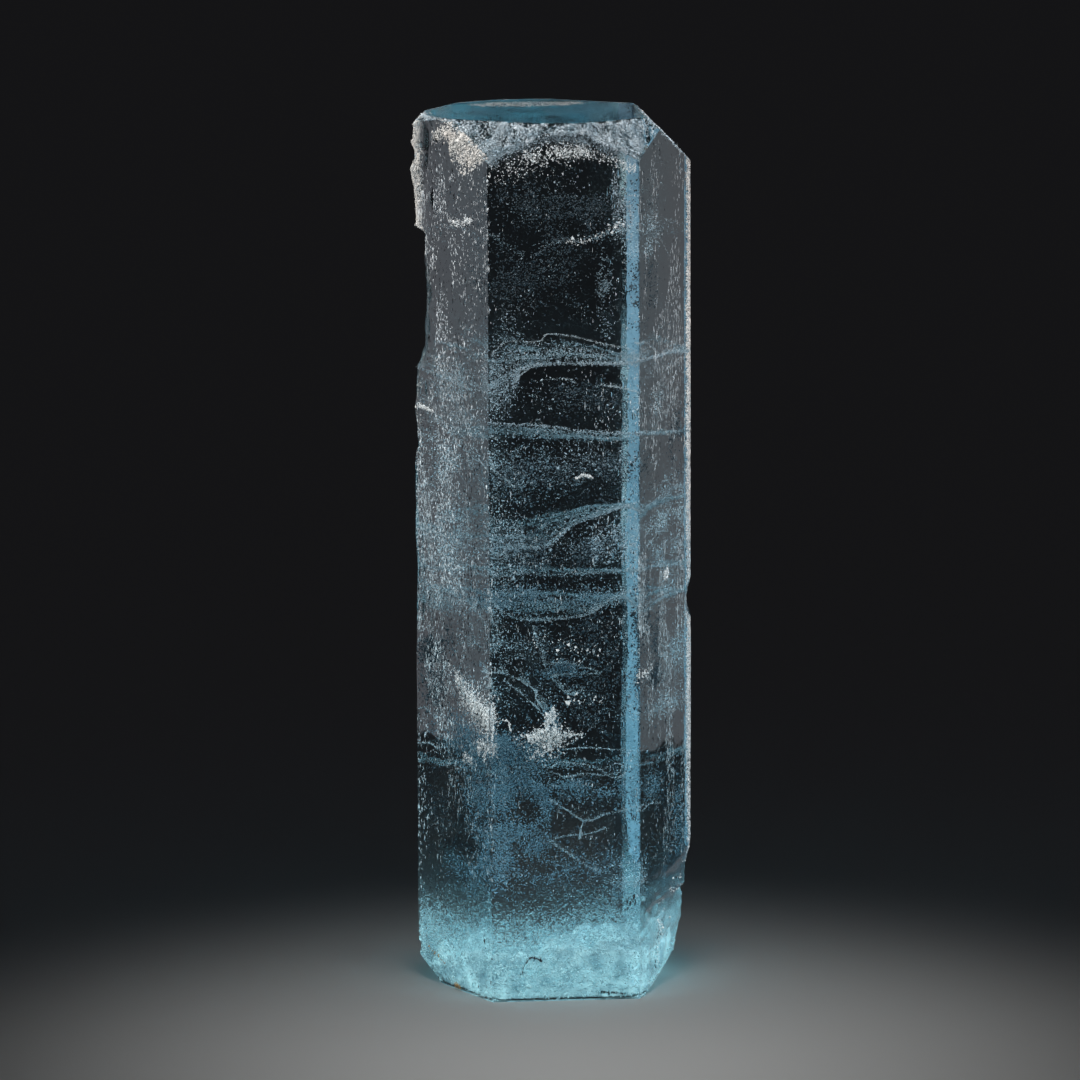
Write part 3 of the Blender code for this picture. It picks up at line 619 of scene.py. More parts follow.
class Prism:
    """The crystal's plane faces, worked out from four of its widths, since each side turns by 60 degrees."""

    def __init__(self, body):
        front, right_front = body.front / MM, body.right_front / MM
        left_front, rear = body.left_front / MM, body.rear / MM
        self.height = body.height / MM
        widths = [front, right_front, left_front + front - rear, rear, front + right_front - rear]
        steps = np.array(widths)[:, None] * along(np.radians(60.0 * np.arange(5)))
        corners = np.vstack([np.zeros(2), np.cumsum(steps, axis=0)])
        self.corners = corners - (corners.min(0) + corners.max(0)) / 2
        self.side_normals = along(SIDE_TURNS)
        self.side_offsets = np.sum(self.corners * self.side_normals, axis=1)
        self.cuts = self.top_cuts() + self.foot_cuts()

    def top_cuts(self):
        """Each top facet as its outward normal and the plane's offset."""
        cuts = []
        for corner in range(6):
            normal = np.append(along(CORNER_TURNS[corner]) * math.sin(FACET_TILT), math.cos(FACET_TILT))
            point = np.append(self.corners[corner], self.height - FACET_DROPS[corner])
            cuts.append((normal, normal @ point))
        normal = np.array([0, -math.sin(FRONT_BEVEL_TILT), math.cos(FRONT_BEVEL_TILT)])
        rim = np.append(self.corners[FRONT_LEFT], self.height - FRONT_BEVEL_DROP)
        return cuts + [(normal, normal @ rim)]

    def foot_cuts(self):
        """Each chip at the foot as its outward normal and the plane's offset."""
        cuts = []
        for corner, height, depth in FOOT_CHIPS:
            normal = np.append(along(CORNER_TURNS[corner]) * height, -depth)
            normal /= np.linalg.norm(normal)
            cuts.append((normal, normal @ np.append(self.corners[corner], height)))
        return cuts

    def side_line(self, side):
        """The first corner of a side, and the unit vector from it to the next."""
        first, second = self.corners[side], self.corners[(side + 1) % 6]
        return first, (second - first) / np.linalg.norm(second - first)

    def from_sides(self, plan):
        """Distance of points in plan from the nearest side."""
        return np.min(self.side_offsets - plan @ self.side_normals.T, axis=1)

    def outline(self, counts):
        """Points round the prism in plan, evenly spaced along each side, with one on every corner."""
        side = np.repeat(np.arange(6), counts)
        first = np.cumsum(counts) - counts
        share = (np.arange(counts.sum()) - first[side]) / counts[side]
        following = np.roll(self.corners, -1, axis=0)
        return self.corners[side] + share[:, None] * (following - self.corners)[side]

    def radius_at(self, reach, outward, height):
        """Distance from the axis to the nearest plane, along the unit vectors outward, at this height. Reach
        is the distance to the prism's side."""
        radius = reach
        for normal, offset in self.cuts:
            slope = outward @ normal[:2]
            plane = (offset - normal[2] * height) / np.maximum(slope, 1e-6)
            radius = np.minimum(radius, np.where(slope > 0.05, plane, np.inf))
        return radius

    def meeting_heights(self, reach, outward):
        """Heights where the side is cut by the chips below it and by the facets above it."""
        low = np.full(len(reach), WORN_RIM)
        high = np.full(len(reach), self.height - WORN_RIM)
        for normal, offset in self.cuts:
            level = (offset - reach * (outward @ normal[:2])) / normal[2]
            if normal[2] > 0:
                high = np.minimum(high, level)
            else:
                low = np.maximum(low, level)
        return low, high

    def depth(self, points, ends=True):
        """Distance of points inside the crystal to its nearest face, with the worn edges counted, and with
        its base and termination if ends is set."""
        plan = points[:, :2]
        found = self.from_sides(plan)
        for normal, offset in self.cuts:
            found = np.minimum(found, offset - points @ normal)
        if ends:
            found = np.minimum(found, np.minimum(points[:, 2], self.height - points[:, 2]))
        inside = (self.corners[LEFT] - plan) @ along(CORNER_TURNS[LEFT])
        found = np.minimum(found, inside - np.maximum(left_wear(points[:, 2]), 0) + 0.2)
        right_worn, turn = right_wear(points[:, 2])
        inside = np.sum((self.corners[RIGHT] - plan) * along(turn), axis=1)
        return np.minimum(found, inside - right_worn * np.cos(turn) + 0.1)


def left_wear(height):
    """Distance inward of the left edge at these heights."""
    return np.interp(height, LEFT_EDGE[::-1, 0], LEFT_EDGE[::-1, 1])


def right_wear(height):
    """Distance inward of the right edge at these heights, and the direction in plan that its break faces."""
    worn = np.interp(height, RIGHT_EDGE[::-1, 0], RIGHT_EDGE[::-1, 1])
    share = np.clip(height / BREAK_TURN_HEIGHT, 0, 1)
    turn = BREAK_TURN_AT_BASE + share * (BREAK_TURN_ABOVE - BREAK_TURN_AT_BASE)
    return worn, np.where(height < BREAK_TOP, turn, 0.0)


def inside_break(points, prism):
    """Distance inward from the flat of the break on the right edge, in plan."""
    worn, turn = right_wear(points[..., 2])
    out = along(turn)
    return np.sum((prism.corners[RIGHT] - points[..., :2]) * out, axis=-1) - worn * np.cos(turn)


def edge_worn(points, prism):
    """The points with the two edges worn. A point nearer the edge than the profile says moves inward to a
    flat cut. Where the left profile is below zero, the skin swells outward by a root that falls to zero at
    the crust's reach."""
    plan, height = points[..., :2].copy(), points[..., 2]
    out = along(CORNER_TURNS[LEFT])
    inside = (prism.corners[LEFT] - plan) @ out
    worn = left_wear(height)
    swelling = np.sqrt(np.clip(1 - inside / CRUST_REACH, 0, 1))
    move = np.where(worn >= 0, np.maximum(0, worn - inside), worn * swelling)
    plan -= move[..., None] * out

    worn, turn = right_wear(height)
    out = along(turn)
    inside = np.sum((prism.corners[RIGHT] - plan) * out, axis=-1)
    plan -= np.maximum(0, worn * np.cos(turn) - inside)[..., None] * out
    return np.concatenate([plan, height[..., None]], axis=-1)


def on_facets(normals, height):
    """1 on the bevels round the termination, and 0 on the upright sides and the level top."""
    lean = normals[..., 2]
    return smooth(0.2, 0.4, lean) * smooth(0.97, 0.9, lean) * smooth(60, 66, height)


def frost_at(points, normals, prism):
    """How rough the skin is, from 0 on a clean face to 1 on the crust, the frosted facets and the break."""
    plan, height = points[..., :2], points[..., 2]
    near_left = 1 - smooth(0.5, 3.0, np.linalg.norm(plan - prism.corners[LEFT], axis=-1))
    crust = near_left * smooth(50, 56, height) * smooth(0.97, 0.8, normals[..., 2])
    facets = on_facets(normals, height) * np.where(plan[..., 0] > 7.2, 0.25, 1.0)
    foot = smooth(3.0, 0.0, height) * 0.35
    right_break = smooth(12, 9, height) * smooth(6.5, 8.5, plan[..., 0]) * 0.5
    return np.clip(np.maximum.reduce([crust, facets, foot, right_break]), 0.04, 1)


def relief(points, frost, prism):
    """Height of the skin over its plane faces: low hillocks drawn out along the prism, fine upright
    striations, wrinkles beside the worn left edge, and grain on the rough parts."""
    hillocks = 0.026 * fractal(points, 4.2, 3, seed=3, stretch=(1, 1, 3))
    striations = 0.004 * fractal(points, 0.55, 2, seed=11, stretch=(1, 1, 30))
    left = np.linalg.norm(points[..., :2] - prism.corners[LEFT], axis=-1)
    wrinkled = smooth(5.5, 1.0, left) * smooth(22, 34, points[..., 2])
    wrinkles = 0.22 * wrinkled * np.abs(fractal(points, 1.0, 2, seed=19, stretch=(1, 1, 4)))
    grain = 0.14 * frost * (fractal(points, 0.9, 4, seed=23) - 0.25)
    lumps = 0.09 * frost * np.abs(fractal(points, 2.0, 3, seed=31))
    broken = smooth(12, 9, points[..., 2]) * smooth(1.5, 0.3, np.abs(inside_break(points, prism)))
    ledges = 0.16 * broken * np.abs(fractal(points, 1.5, 4, seed=29, stretch=(1.5, 1.5, 0.6)))
    return hillocks + striations - wrinkles + grain - lumps - ledges


def crystal_skin(prism):
    """The skin as a grid. Columns run round the prism and rows up a section of it: out along the base, up
    the foot's chips, the side and the top facets, and in along the termination. The two ends close on the
    axis."""
    outline = prism.outline(SIDE_COLUMNS)
    reach = np.linalg.norm(outline, axis=1)
    outward = outline / reach[:, None]
    low, high = prism.meeting_heights(reach, outward)
    levels = np.concatenate([
        np.linspace(0, 1, CHIP_ROWS, endpoint=False)[:, None] * low,
        low + np.linspace(0, 1, SIDE_ROWS, endpoint=False)[:, None] * (high - low),
        high + np.linspace(0, 1, FACET_ROWS + 1)[:, None] * (prism.height - high),
    ])
    rim = WORN_RIM - np.minimum(levels, prism.height - levels)
    radius = prism.radius_at(reach, outward, levels) - np.maximum(rim, 0)
    radius = np.minimum(radius, reach)
    wall = np.concatenate([radius[..., None] * outward, levels[..., None]], axis=-1)

    shares = np.arange(1, BASE_RINGS) / BASE_RINGS
    base = wall[0] * np.append(shares[:, None, None] * np.ones(2), np.zeros((len(shares), 1, 1)), axis=-1)
    shares = np.arange(TOP_RINGS - 1, 0, -1) / TOP_RINGS
    top = wall[-1] * np.append(shares[:, None, None] * np.ones(2), np.ones((len(shares), 1, 1)), axis=-1)
    grid = np.concatenate([base, wall, top])
    grid = edge_worn(grid, prism)

    around = np.roll(grid, -1, axis=1) - np.roll(grid, 1, axis=1)
    up = np.gradient(grid, axis=0)
    normals = np.cross(around, up)
    normals /= np.linalg.norm(normals, axis=-1, keepdims=True) + 1e-12
    frost = frost_at(grid, normals, prism)
    height = grid[..., 2:]
    free = smooth(0, 0.1, height) * smooth(prism.height, prism.height - 0.1, height)
    grid = grid + normals * relief(grid, frost, prism)[..., None] * free
    grid[..., 2] = np.clip(grid[..., 2], 0, prism.height)
    return grid, normals, frost


def grid_faces(rows, columns):
    """Quads between neighbouring rows and columns of a grid that closes round, and the two fans of triangles
    that close its ends on two more points."""
    row, column = np.meshgrid(np.arange(rows - 1), np.arange(columns), indexing="ij")
    after = (column + 1) % columns
    quads = np.stack([
        row * columns + column, row * columns + after,
        (row + 1) * columns + after, (row + 1) * columns + column,
    ], axis=-1).reshape(-1, 4)
    ring = np.arange(columns)
    following = (ring + 1) % columns
    last = (rows - 1) * columns
    under = np.stack([following, ring, np.full(columns, rows * columns)], axis=-1)
    over = np.stack([last + ring, last + following, np.full(columns, rows * columns + 1)], axis=-1)
    return [quads, np.vstack([under, over])]


def closed_grid(grid, poles):
    """The points and faces of a grid that closes round, with its two ends closed on the poles."""
    return np.vstack([grid.reshape(-1, 3), poles]), grid_faces(*grid.shape[:2])


# ---------------------------------------------------------------- materials

def beryl_material(body):
    """Natural beryl, grown in water and never polished: clear faces with a faint satin of growth hillocks and
    etch pits, and a frosted grain on the crust, the top facets and the break. Iron in it takes the red from
    the light, so deep places are bluer."""
    material, tree, output = new_material("aquamarine_beryl")
    coords = add_node(tree, "ShaderNodeTexCoord")
    frost = add_node(tree, "ShaderNodeAttribute", {"attribute_name": "frost"})
    upright = add_node(
        tree, "ShaderNodeMapping", Vector=coords.outputs["Object"], Scale=(1.0, 1.0, 0.35)
    )
    # Etch pits about 0.45 mm apart, drawn out along the prism, in patches.
    pits = add_node(
        tree, "ShaderNodeTexVoronoi", {"feature": "F1"},
        Vector=upright.outputs["Vector"], Scale=1 / (0.45 * MM), Randomness=1.0,
    )
    pit_shape = add_node(
        tree, "ShaderNodeMapRange", {"interpolation_type": "SMOOTHSTEP"},
        Value=pits.outputs["Distance"], From_Min=0.12, From_Max=0.34, To_Min=0.0, To_Max=1.0,
    )
    patches = add_node(
        tree, "ShaderNodeTexNoise", Vector=coords.outputs["Object"], Scale=1 / (3.5 * MM), Detail=3.0
    )
    patch_mask = add_node(
        tree, "ShaderNodeMapRange", Value=patches.outputs[0],
        From_Min=0.50, From_Max=0.66, To_Min=0.0, To_Max=1.0,
    )
    pitting = add_node(
        tree, "ShaderNodeMix", {"data_type": "FLOAT"},
        _0=patch_mask.outputs["Result"], _2=1.0, _3=pit_shape.outputs["Result"],
    )
    fine = add_node(
        tree, "ShaderNodeTexNoise", Vector=upright.outputs["Vector"], Scale=1 / (0.5 * MM), Detail=4.0,
        Roughness=0.6,
    )
    fine_amount = add_node(
        tree, "ShaderNodeMapRange", Value=frost.outputs["Fac"], To_Min=0.06, To_Max=0.9
    )
    fine_bump = add_node(
        tree, "ShaderNodeBump", Strength=fine_amount.outputs["Result"], Distance=0.06 * MM,
        Height=fine.outputs[0],
    )
    bump = add_node(
        tree, "ShaderNodeBump", Strength=0.5, Distance=0.05 * MM,
        Height=pitting.outputs[0], Normal=fine_bump.outputs["Normal"],
    )
    roughness = add_node(
        tree, "ShaderNodeMapRange", Value=frost.outputs["Fac"], To_Min=0.02, To_Max=0.5
    )
    shader = add_node(
        tree, "ShaderNodeBsdfPrincipled",
        Base_Color=linear("#fcfeff"), Roughness=roughness.outputs["Result"], IOR=body.ior,
        Transmission_Weight=1.0, Normal=bump.outputs["Normal"],
    )
    depth = add_node(
        tree, "ShaderNodeVolumeAbsorption", Color=(*body.absorption, 1.0), Density=body.density
    )
    tree.links.new(shader.outputs["BSDF"], output.inputs["Surface"])
    tree.links.new(depth.outputs["Volume"], output.inputs["Volume"])
    return material


def scatter_material(
    name, foot, top, roughness=0.5, patch=2.0, mottle=0.35, run_from=4, run_to=62, outer_shade=None
):
    """Fluid droplets, healed films and crust in beryl: matt grains that send back the light that reaches them.
    Light reaches the foot through more of the crystal, but the lamps' light reaches the grains untinted, so
    the tint it would take on the way is painted into the grains' colour: it runs from foot to top between two
    heights. Clumps of them, patch millimetres across, are darker by mottle. Where the outer-face attribute is
    1, the outer colour stands instead: painted shade, on a face that a lamp would otherwise light brightly."""
    material, tree, output = new_material(name)
    coords = add_node(tree, "ShaderNodeTexCoord")
    axes = add_node(tree, "ShaderNodeSeparateXYZ", Vector=coords.outputs["Object"])
    rise = add_node(
        tree, "ShaderNodeMapRange", Value=axes.outputs["Z"], From_Min=run_from * MM, From_Max=run_to * MM
    )
    # Painted tint: the colour runs from foot to top, as light that crosses the crystal would be tinted.
    run = add_node(
        tree, "ShaderNodeMix", {"data_type": "RGBA"},
        _0=rise.outputs["Result"], _6=linear(foot), _7=linear(top),
    )
    clumps = add_node(
        tree, "ShaderNodeTexNoise", Vector=coords.outputs["Object"], Scale=1 / (patch * MM), Detail=3.0
    )
    shade = add_node(
        tree, "ShaderNodeMapRange", Value=clumps.outputs[0],
        From_Min=0.35, From_Max=0.65, To_Min=0.0, To_Max=mottle,
    )
    colour = add_node(
        tree, "ShaderNodeMix", {"data_type": "RGBA", "blend_type": "MULTIPLY"},
        _0=shade.outputs["Result"], _6=run.outputs[2], _7=linear("#8fa9b4"),
    )
    # Painted shade: a dark colour on the piece's outer face.
    if outer_shade:
        side = add_node(tree, "ShaderNodeAttribute", {"attribute_name": "outer_shade"})
        colour = add_node(
            tree, "ShaderNodeMix", {"data_type": "RGBA"},
            _0=side.outputs["Fac"], _6=colour.outputs[2], _7=linear(outer_shade),
        )
    shader = add_node(
        tree, "ShaderNodeBsdfPrincipled", Base_Color=colour.outputs[2], Roughness=roughness, IOR=1.33,
    )
    tree.links.new(shader.outputs["BSDF"], output.inputs["Surface"])
    return material


def floor_material():
    """Matt painted studio floor: pale, with no pattern of its own."""
    material, tree, output = new_material("studio_floor_paint")
    shader = add_node(
        tree, "ShaderNodeBsdfPrincipled", Base_Color=linear("#e4e4e2"), Roughness=0.85
    )
    tree.links.new(shader.outputs["BSDF"], output.inputs["Surface"])
    return material


# ---------------------------------------------------------------- flecks

TETRAHEDRON = np.array([(1, 1, 1), (1, -1, -1), (-1, 1, -1), (-1, -1, 1)]) / math.sqrt(3)
TETRAHEDRON_FACES = np.array([(0, 1, 2), (0, 3, 1), (0, 2, 3), (1, 3, 2)])


def random_turns(rng, count):
    """Random rotations, from the axes of two random directions."""
    first = rng.normal(size=(count, 3))
    first /= np.linalg.norm(first, axis=1, keepdims=True)
    second = np.cross(first, rng.normal(size=(count, 3)))
    second /= np.linalg.norm(second, axis=1, keepdims=True)
    return np.stack([first, second, np.cross(first, second)], axis=-1)


def flecks(rng, centres, sizes, squash=(1, 1, 1)):
    """A tiny tetrahedron at each centre: its four points times its size, turned at random, then drawn out or
    flattened along the axes by squash."""
    turned = np.einsum("nij,kj->nki", random_turns(rng, len(centres)), TETRAHEDRON)
    points = centres[:, None] + turned * (sizes[:, None, None] / 2) * np.array(squash, float)
    faces = TETRAHEDRON_FACES + 4 * np.arange(len(centres))[:, None, None]
    return points.reshape(-1, 3), faces.reshape(-1, 3)


def grain_sizes(rng, mean, spread, places):
    """Sizes of the grains at these places: the mean in millimetres times a lognormal factor."""
    return mean * rng.lognormal(0, spread, len(places))


def fleck_piece(rng, name, places, sizes, material, squash=(1, 1, 1)):
    """A piece made of flecks at these places."""
    points, faces = flecks(rng, places, sizes, squash)
    return make_piece(name, points, faces, material)


# ---------------------------------------------------------------- places inside the crystal

def behind(prism, side, across, height, depth):
    """Places behind a side at these depths, along the line of sight from the front, which bends at the side
    by Snell's law: the part of its direction in the side's plane is divided by the refractive index."""
    normal = np.append(prism.side_normals[side], 0.0)
    first, along_side = prism.side_line(side)
    flat = (SIGHT - (SIGHT @ normal) * normal) / BERYL_IOR
    inner = flat / math.sqrt(1 - flat @ flat) - normal
    start = np.stack([
        first[0] + across * along_side[0], first[1] + across * along_side[1], height + 0.0 * across,
    ], axis=-1)
    return start + depth[..., None] * inner


def within(prism, points, margin=0.12):
    """Whether each point is inside the crystal, more than the margin from its faces."""
    return prism.depth(points) > margin


def in_section(rng, prism, count):
    """Random points in plan inside the prism."""
    span = np.max(np.abs(prism.corners), axis=0)
    plan = rng.uniform(-span, span, size=(3 * count, 2))
    inside = np.all(plan @ prism.side_normals.T < prism.side_offsets - 0.1, axis=1)
    return plan[inside][:count]


def flat_points(plan):
    """Points in plan as points at height zero."""
    return np.column_stack([plan, np.zeros(len(plan))])


def curve_at(knots, x):
    """Height of a smooth curve through knots of (x, height)."""
    line = path_points(knots, 60 * len(knots))
    return np.interp(x, line[:, 0], line[:, 1])


def veil_level(prism, veil, plan, seed):
    """Height of a healed fracture over points in plan: a ruled sheet that runs straight from its front curve
    to its rear curve, with waves."""
    front, rear = prism.corners[FRONT_LEFT, 1], prism.corners[REAR_LEFT, 1]
    share = (plan[:, 1] - front) / (rear - front)
    level = (1 - share) * curve_at(veil.front, plan[:, 0]) + share * curve_at(veil.rear, plan[:, 0])
    return level + veil.waves * fractal(flat_points(plan), 3.5, 4, seed=seed)


def veil_film(rng, prism, veil, seed):
    """Grains of the film on a veil. They lie where a patchy noise is high, and closer together near the
    skin."""
    plan = in_section(rng, prism, 7 * veil.film)
    patches = fractal(flat_points(plan), 2.6, 4, seed=seed + 5, stretch=(1.6, 1, 1))
    chance = smooth(*veil.patch, patches) * (0.5 + 0.5 * np.exp(-prism.from_sides(plan) / 1.2))
    plan = plan[rng.random(len(plan)) < chance][:veil.film]
    level = veil_level(prism, veil, plan, seed) + 0.08 * rng.normal(size=len(plan))
    return np.column_stack([plan, level])


def veil_rim(rng, prism, veil, seed):
    """Droplets of a veil: most gather near the three front sides, the rest lie anywhere on it."""
    along_front = rng.choice([FRONT, RIGHT_FRONT, LEFT_FRONT], size=veil.droplets, p=(0.5, 0.25, 0.25))
    first = prism.corners[along_front]
    second = prism.corners[(along_front + 1) % 6]
    inward = rng.exponential(0.55, size=veil.droplets) + 0.06
    across = rng.random(veil.droplets)
    plan = first + across[:, None] * (second - first) - inward[:, None] * prism.side_normals[along_front]
    anywhere = in_section(rng, prism, veil.droplets)[:veil.droplets // 3]
    plan = np.vstack([plan[:veil.droplets - len(anywhere)], anywhere])
    clumps = smooth(-0.5, 0.4, fractal(flat_points(plan), 0.9, 3, seed=seed + 9))
    plan = plan[rng.random(len(plan)) < 0.3 + 0.7 * clumps]
    level = veil_level(prism, veil, plan, seed) + 0.07 * rng.normal(size=len(plan))
    return np.column_stack([plan, level])


def path_points(knots, count):
    """Points along a smooth curve through the knots, by Catmull-Rom pieces."""
    knots = np.array(knots, float)
    padded = np.vstack([2 * knots[0] - knots[1], knots, 2 * knots[-1] - knots[-2]])
    place = np.linspace(0, len(knots) - 1 - 1e-9, count)
    part = place.astype(int)
    t = (place - part)[:, None]
    a, b, c, d = (padded[part + k] for k in range(4))
    square, cube = 2 * a - 5 * b + 4 * c - d, 3 * b - a - 3 * c + d
    return 0.5 * (2 * b + (c - a) * t + square * t ** 2 + cube * t ** 3)


def crack(rng, prism, side, knots, count, fan=(0.0, 0.0, 0.0), reach=1.0, edge=0.4, seed=1):
    """A small fracture behind a side. Its edge is a curve through knots (across, height, depth), and the
    fracture spreads from it along fan, thinning out over the reach. The share in edge lies on the edge."""
    line = path_points(knots, count)
    line = line[rng.permutation(count)]
    places = behind(prism, side, line[:, 0], line[:, 1], line[:, 2])
    spread = rng.exponential(reach, size=count) * (rng.random(count) > edge)
    places = places + spread[:, None] * np.array(fan, float) + 0.04 * rng.normal(size=(count, 3))
    ripple = smooth(-0.3, 0.3, fractal(places, 0.7, 2, seed=seed))
    kept = (rng.random(count) < np.where(spread > 0, ripple, 1)) & within(prism, places, 0.05)
    return places[kept]


def cracks_of(rng, prism, rows, seed):
    """Places on every crack of a table."""
    return np.vstack([
        crack(rng, prism, side, knots, count, fan, reach, edge, seed=seed + k)
        for k, (side, knots, count, fan, reach, edge) in enumerate(rows)
    ])


def cloud(rng, prism, side, centre, radii, count, seed=1):
    """Mist behind a side, in a lump with this centre and these radii as (across, height, depth). It is
    densest in the middle, and noise draws it into wisps."""
    offsets = rng.normal(size=(6 * count, 3)) * 0.65
    lump = np.array(centre, float) + offsets * np.array(radii, float)
    lump[:, 2] = np.maximum(np.abs(lump[:, 2]), 0.15)
    places = behind(prism, side, lump[:, 0], lump[:, 1], lump[:, 2])
    wisps = smooth(-0.3, 0.7, fractal(places, 1.7, 4, seed=seed, stretch=(1.5, 1, 1)))
    return places[(rng.random(len(places)) < wisps) & within(prism, places)][:count]


def clouds_of(rng, prism, rows, seed):
    """Places in every cloud of a table."""
    return np.vstack([
        cloud(rng, prism, side, centre, radii, count, seed=seed + k)
        for k, (side, centre, radii, count) in enumerate(rows)
    ])


def strewn(rng, prism, field, seed=1):
    """Grains of a field: across the side at random, at a random share of the way from its lower to its upper
    curve, and at a random depth. They gather in clumps."""
    count = 2 * field.count
    low, high = np.array(field.lower), np.array(field.upper)
    across = rng.uniform(max(low[0, 0], high[0, 0]), min(low[-1, 0], high[-1, 0]), count)
    share = np.clip(rng.normal(0.5, 0.27, count), -0.15, 1.15)
    bottom = np.interp(across, low[:, 0], low[:, 1])
    top = np.interp(across, high[:, 0], high[:, 1])
    height = bottom + share * (top - bottom)
    places = behind(prism, field.side, across, height, rng.uniform(*field.depth, count))
    clumps = smooth(-0.6, 0.5, fractal(places, 1.4, 3, seed=seed))
    kept = (rng.random(count) < 0.25 + 0.75 * clumps) & within(prism, places, 0.01)
    return places[kept][:field.count]


def strewn_fields(rng, prism, fields, seed):
    """The grains of several fields, and their sizes."""
    places, sizes = [], []
    for k, field in enumerate(fields):
        found = strewn(rng, prism, field, seed + k)
        places.append(found)
        sizes.append(field.size * rng.lognormal(-0.05, 0.5, len(found)))
    return np.vstack(places), np.concatenate(sizes)


def milky_core(prism):
    """The milky heart of the foot as a closed grid: the prism's outline drawn in by a superellipse from the
    base to a domed top that rises to the right, and roughened by noise. Points too near the skin move to the
    axis. Gives the grid and the middles of its two ends."""
    outline = prism.outline(np.full(6, CORE_SIDE_COLUMNS))
    angle = np.linspace(0, math.pi / 2, CORE_ROWS)
    rings = np.linspace(0, 1, CORE_RINGS + 2)[1:-1]
    shares = np.concatenate([rings, np.cos(angle[:-1]) ** 0.4])
    rises = np.concatenate([np.zeros(CORE_RINGS), np.sin(angle[:-1]) ** 0.9])
    plan = CORE_WIDTH * shares[:, None, None] * outline
    top = 2.7 + 0.020 * np.maximum(plan[..., 0] + 3.5, 0) ** 2
    grid = np.concatenate([plan, (CORE_FLOOR + rises[:, None] * top)[..., None]], axis=-1)
    swelling = fractal(grid, 2.4, 5, seed=91, stretch=(1.5, 1.5, 0.7))
    grid[..., :2] *= (1 + 0.07 * swelling * np.sqrt(rises)[:, None])[..., None]
    grid[..., 2] += (1.0 * swelling + 0.5 * fractal(grid, 0.9, 3, seed=93)) * rises[:, None] ** 2
    flat = grid.reshape(-1, 3)
    for _ in range(CORE_PULLS):
        near = prism.depth(flat, ends=False) < CORE_CLEARANCE
        flat[near, :2] *= CORE_PULL
    grid = flat.reshape(grid.shape)
    return grid, np.array([(0.0, 0.0, CORE_FLOOR), (0.0, 0.0, grid[-1, :, 2].mean())])


def etched_plate(prism):
    """The etched layer under the right-rear side as a closed grid: a loop round a thin section in plan,
    carried up the side between two ragged ends. Noise roughens its inner face. Gives the grid and the
    middles of its two ends."""
    first, along_side = prism.side_line(RIGHT_REAR)
    start, end = ((level - first[1]) / along_side[1] for level in PLATE_SPAN)
    there, back = np.linspace(start, end, PLATE_COLUMNS), np.linspace(end, start, PLATE_COLUMNS)
    across = np.concatenate([there, back])
    inward = np.repeat(PLATE_DEPTHS, PLATE_COLUMNS)
    line = np.column_stack([across, 0 * across, 0 * across])
    low, high = (
        level + 0.7 * fractal(line, 0.9, 3, seed=68 + k) for k, level in enumerate(PLATE_HEIGHTS)
    )
    height = low + np.linspace(0, 1, PLATE_ROWS)[:, None] * (high - low)
    plan = first + across[:, None] * along_side + 0 * height[..., None]
    grid = np.concatenate([plan, height[..., None]], axis=-1)
    grain = fractal(grid, 0.6, 3, seed=67, stretch=(1, 1, 1.6))
    inward = inward + 0.025 * (inward > PLATE_DEPTHS[0]) * grain
    grid[..., :2] -= inward[..., None] * prism.side_normals[RIGHT_REAR]
    return grid, np.array([grid[0].mean(0), grid[-1].mean(0)])


def under_skin(rng, skin, weight, count, depth):
    """Random places just under the skin: grid cells drawn by their area times the weight, a point at random
    in each, moved inward by a random depth in the range."""
    grid, normals = skin
    after = np.roll(grid, -1, axis=1)
    around, up = after[:-1] - grid[:-1], grid[1:] - grid[:-1]
    area = np.linalg.norm(np.cross(around, up), axis=-1)
    chance = (area * weight[:-1]).ravel()
    cell = rng.choice(chance.size, size=count, p=chance / chance.sum())
    row, column = np.unravel_index(cell, area.shape)
    share = rng.random((2, count, 1))
    place = grid[row, column] + share[0] * around[row, column] + share[1] * up[row, column]
    return place - rng.uniform(*depth, size=(count, 1)) * normals[row, column]


# ---------------------------------------------------------------- operators

class CRYSTAL_OT_body(bpy.types.Operator):
    """Build the crystal's skin and its clear blue material"""

    bl_idname = "crystal.body"
    bl_label = "Crystal body"

    def execute(self, context):
        body = context.scene.aquamarine_body
        prism = Prism(body)
        grid, normals, frost = crystal_skin(prism)
        points, faces = closed_grid(grid, np.array([(0, 0, 0), (0, 0, prism.height)]))
        values = np.append(frost.ravel(), (0.2, 0.1))
        piece = make_piece("crystal", points, faces, beryl_material(body), {"frost": values}, "skin")
        piece.data.shade_smooth()
        piece.data.set_sharp_from_angle(angle=math.radians(28))
        # Light reaches the inclusions and the floor through the clear crystal.
        piece.visible_shadow = False
        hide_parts(NODE)
        return {"FINISHED"}


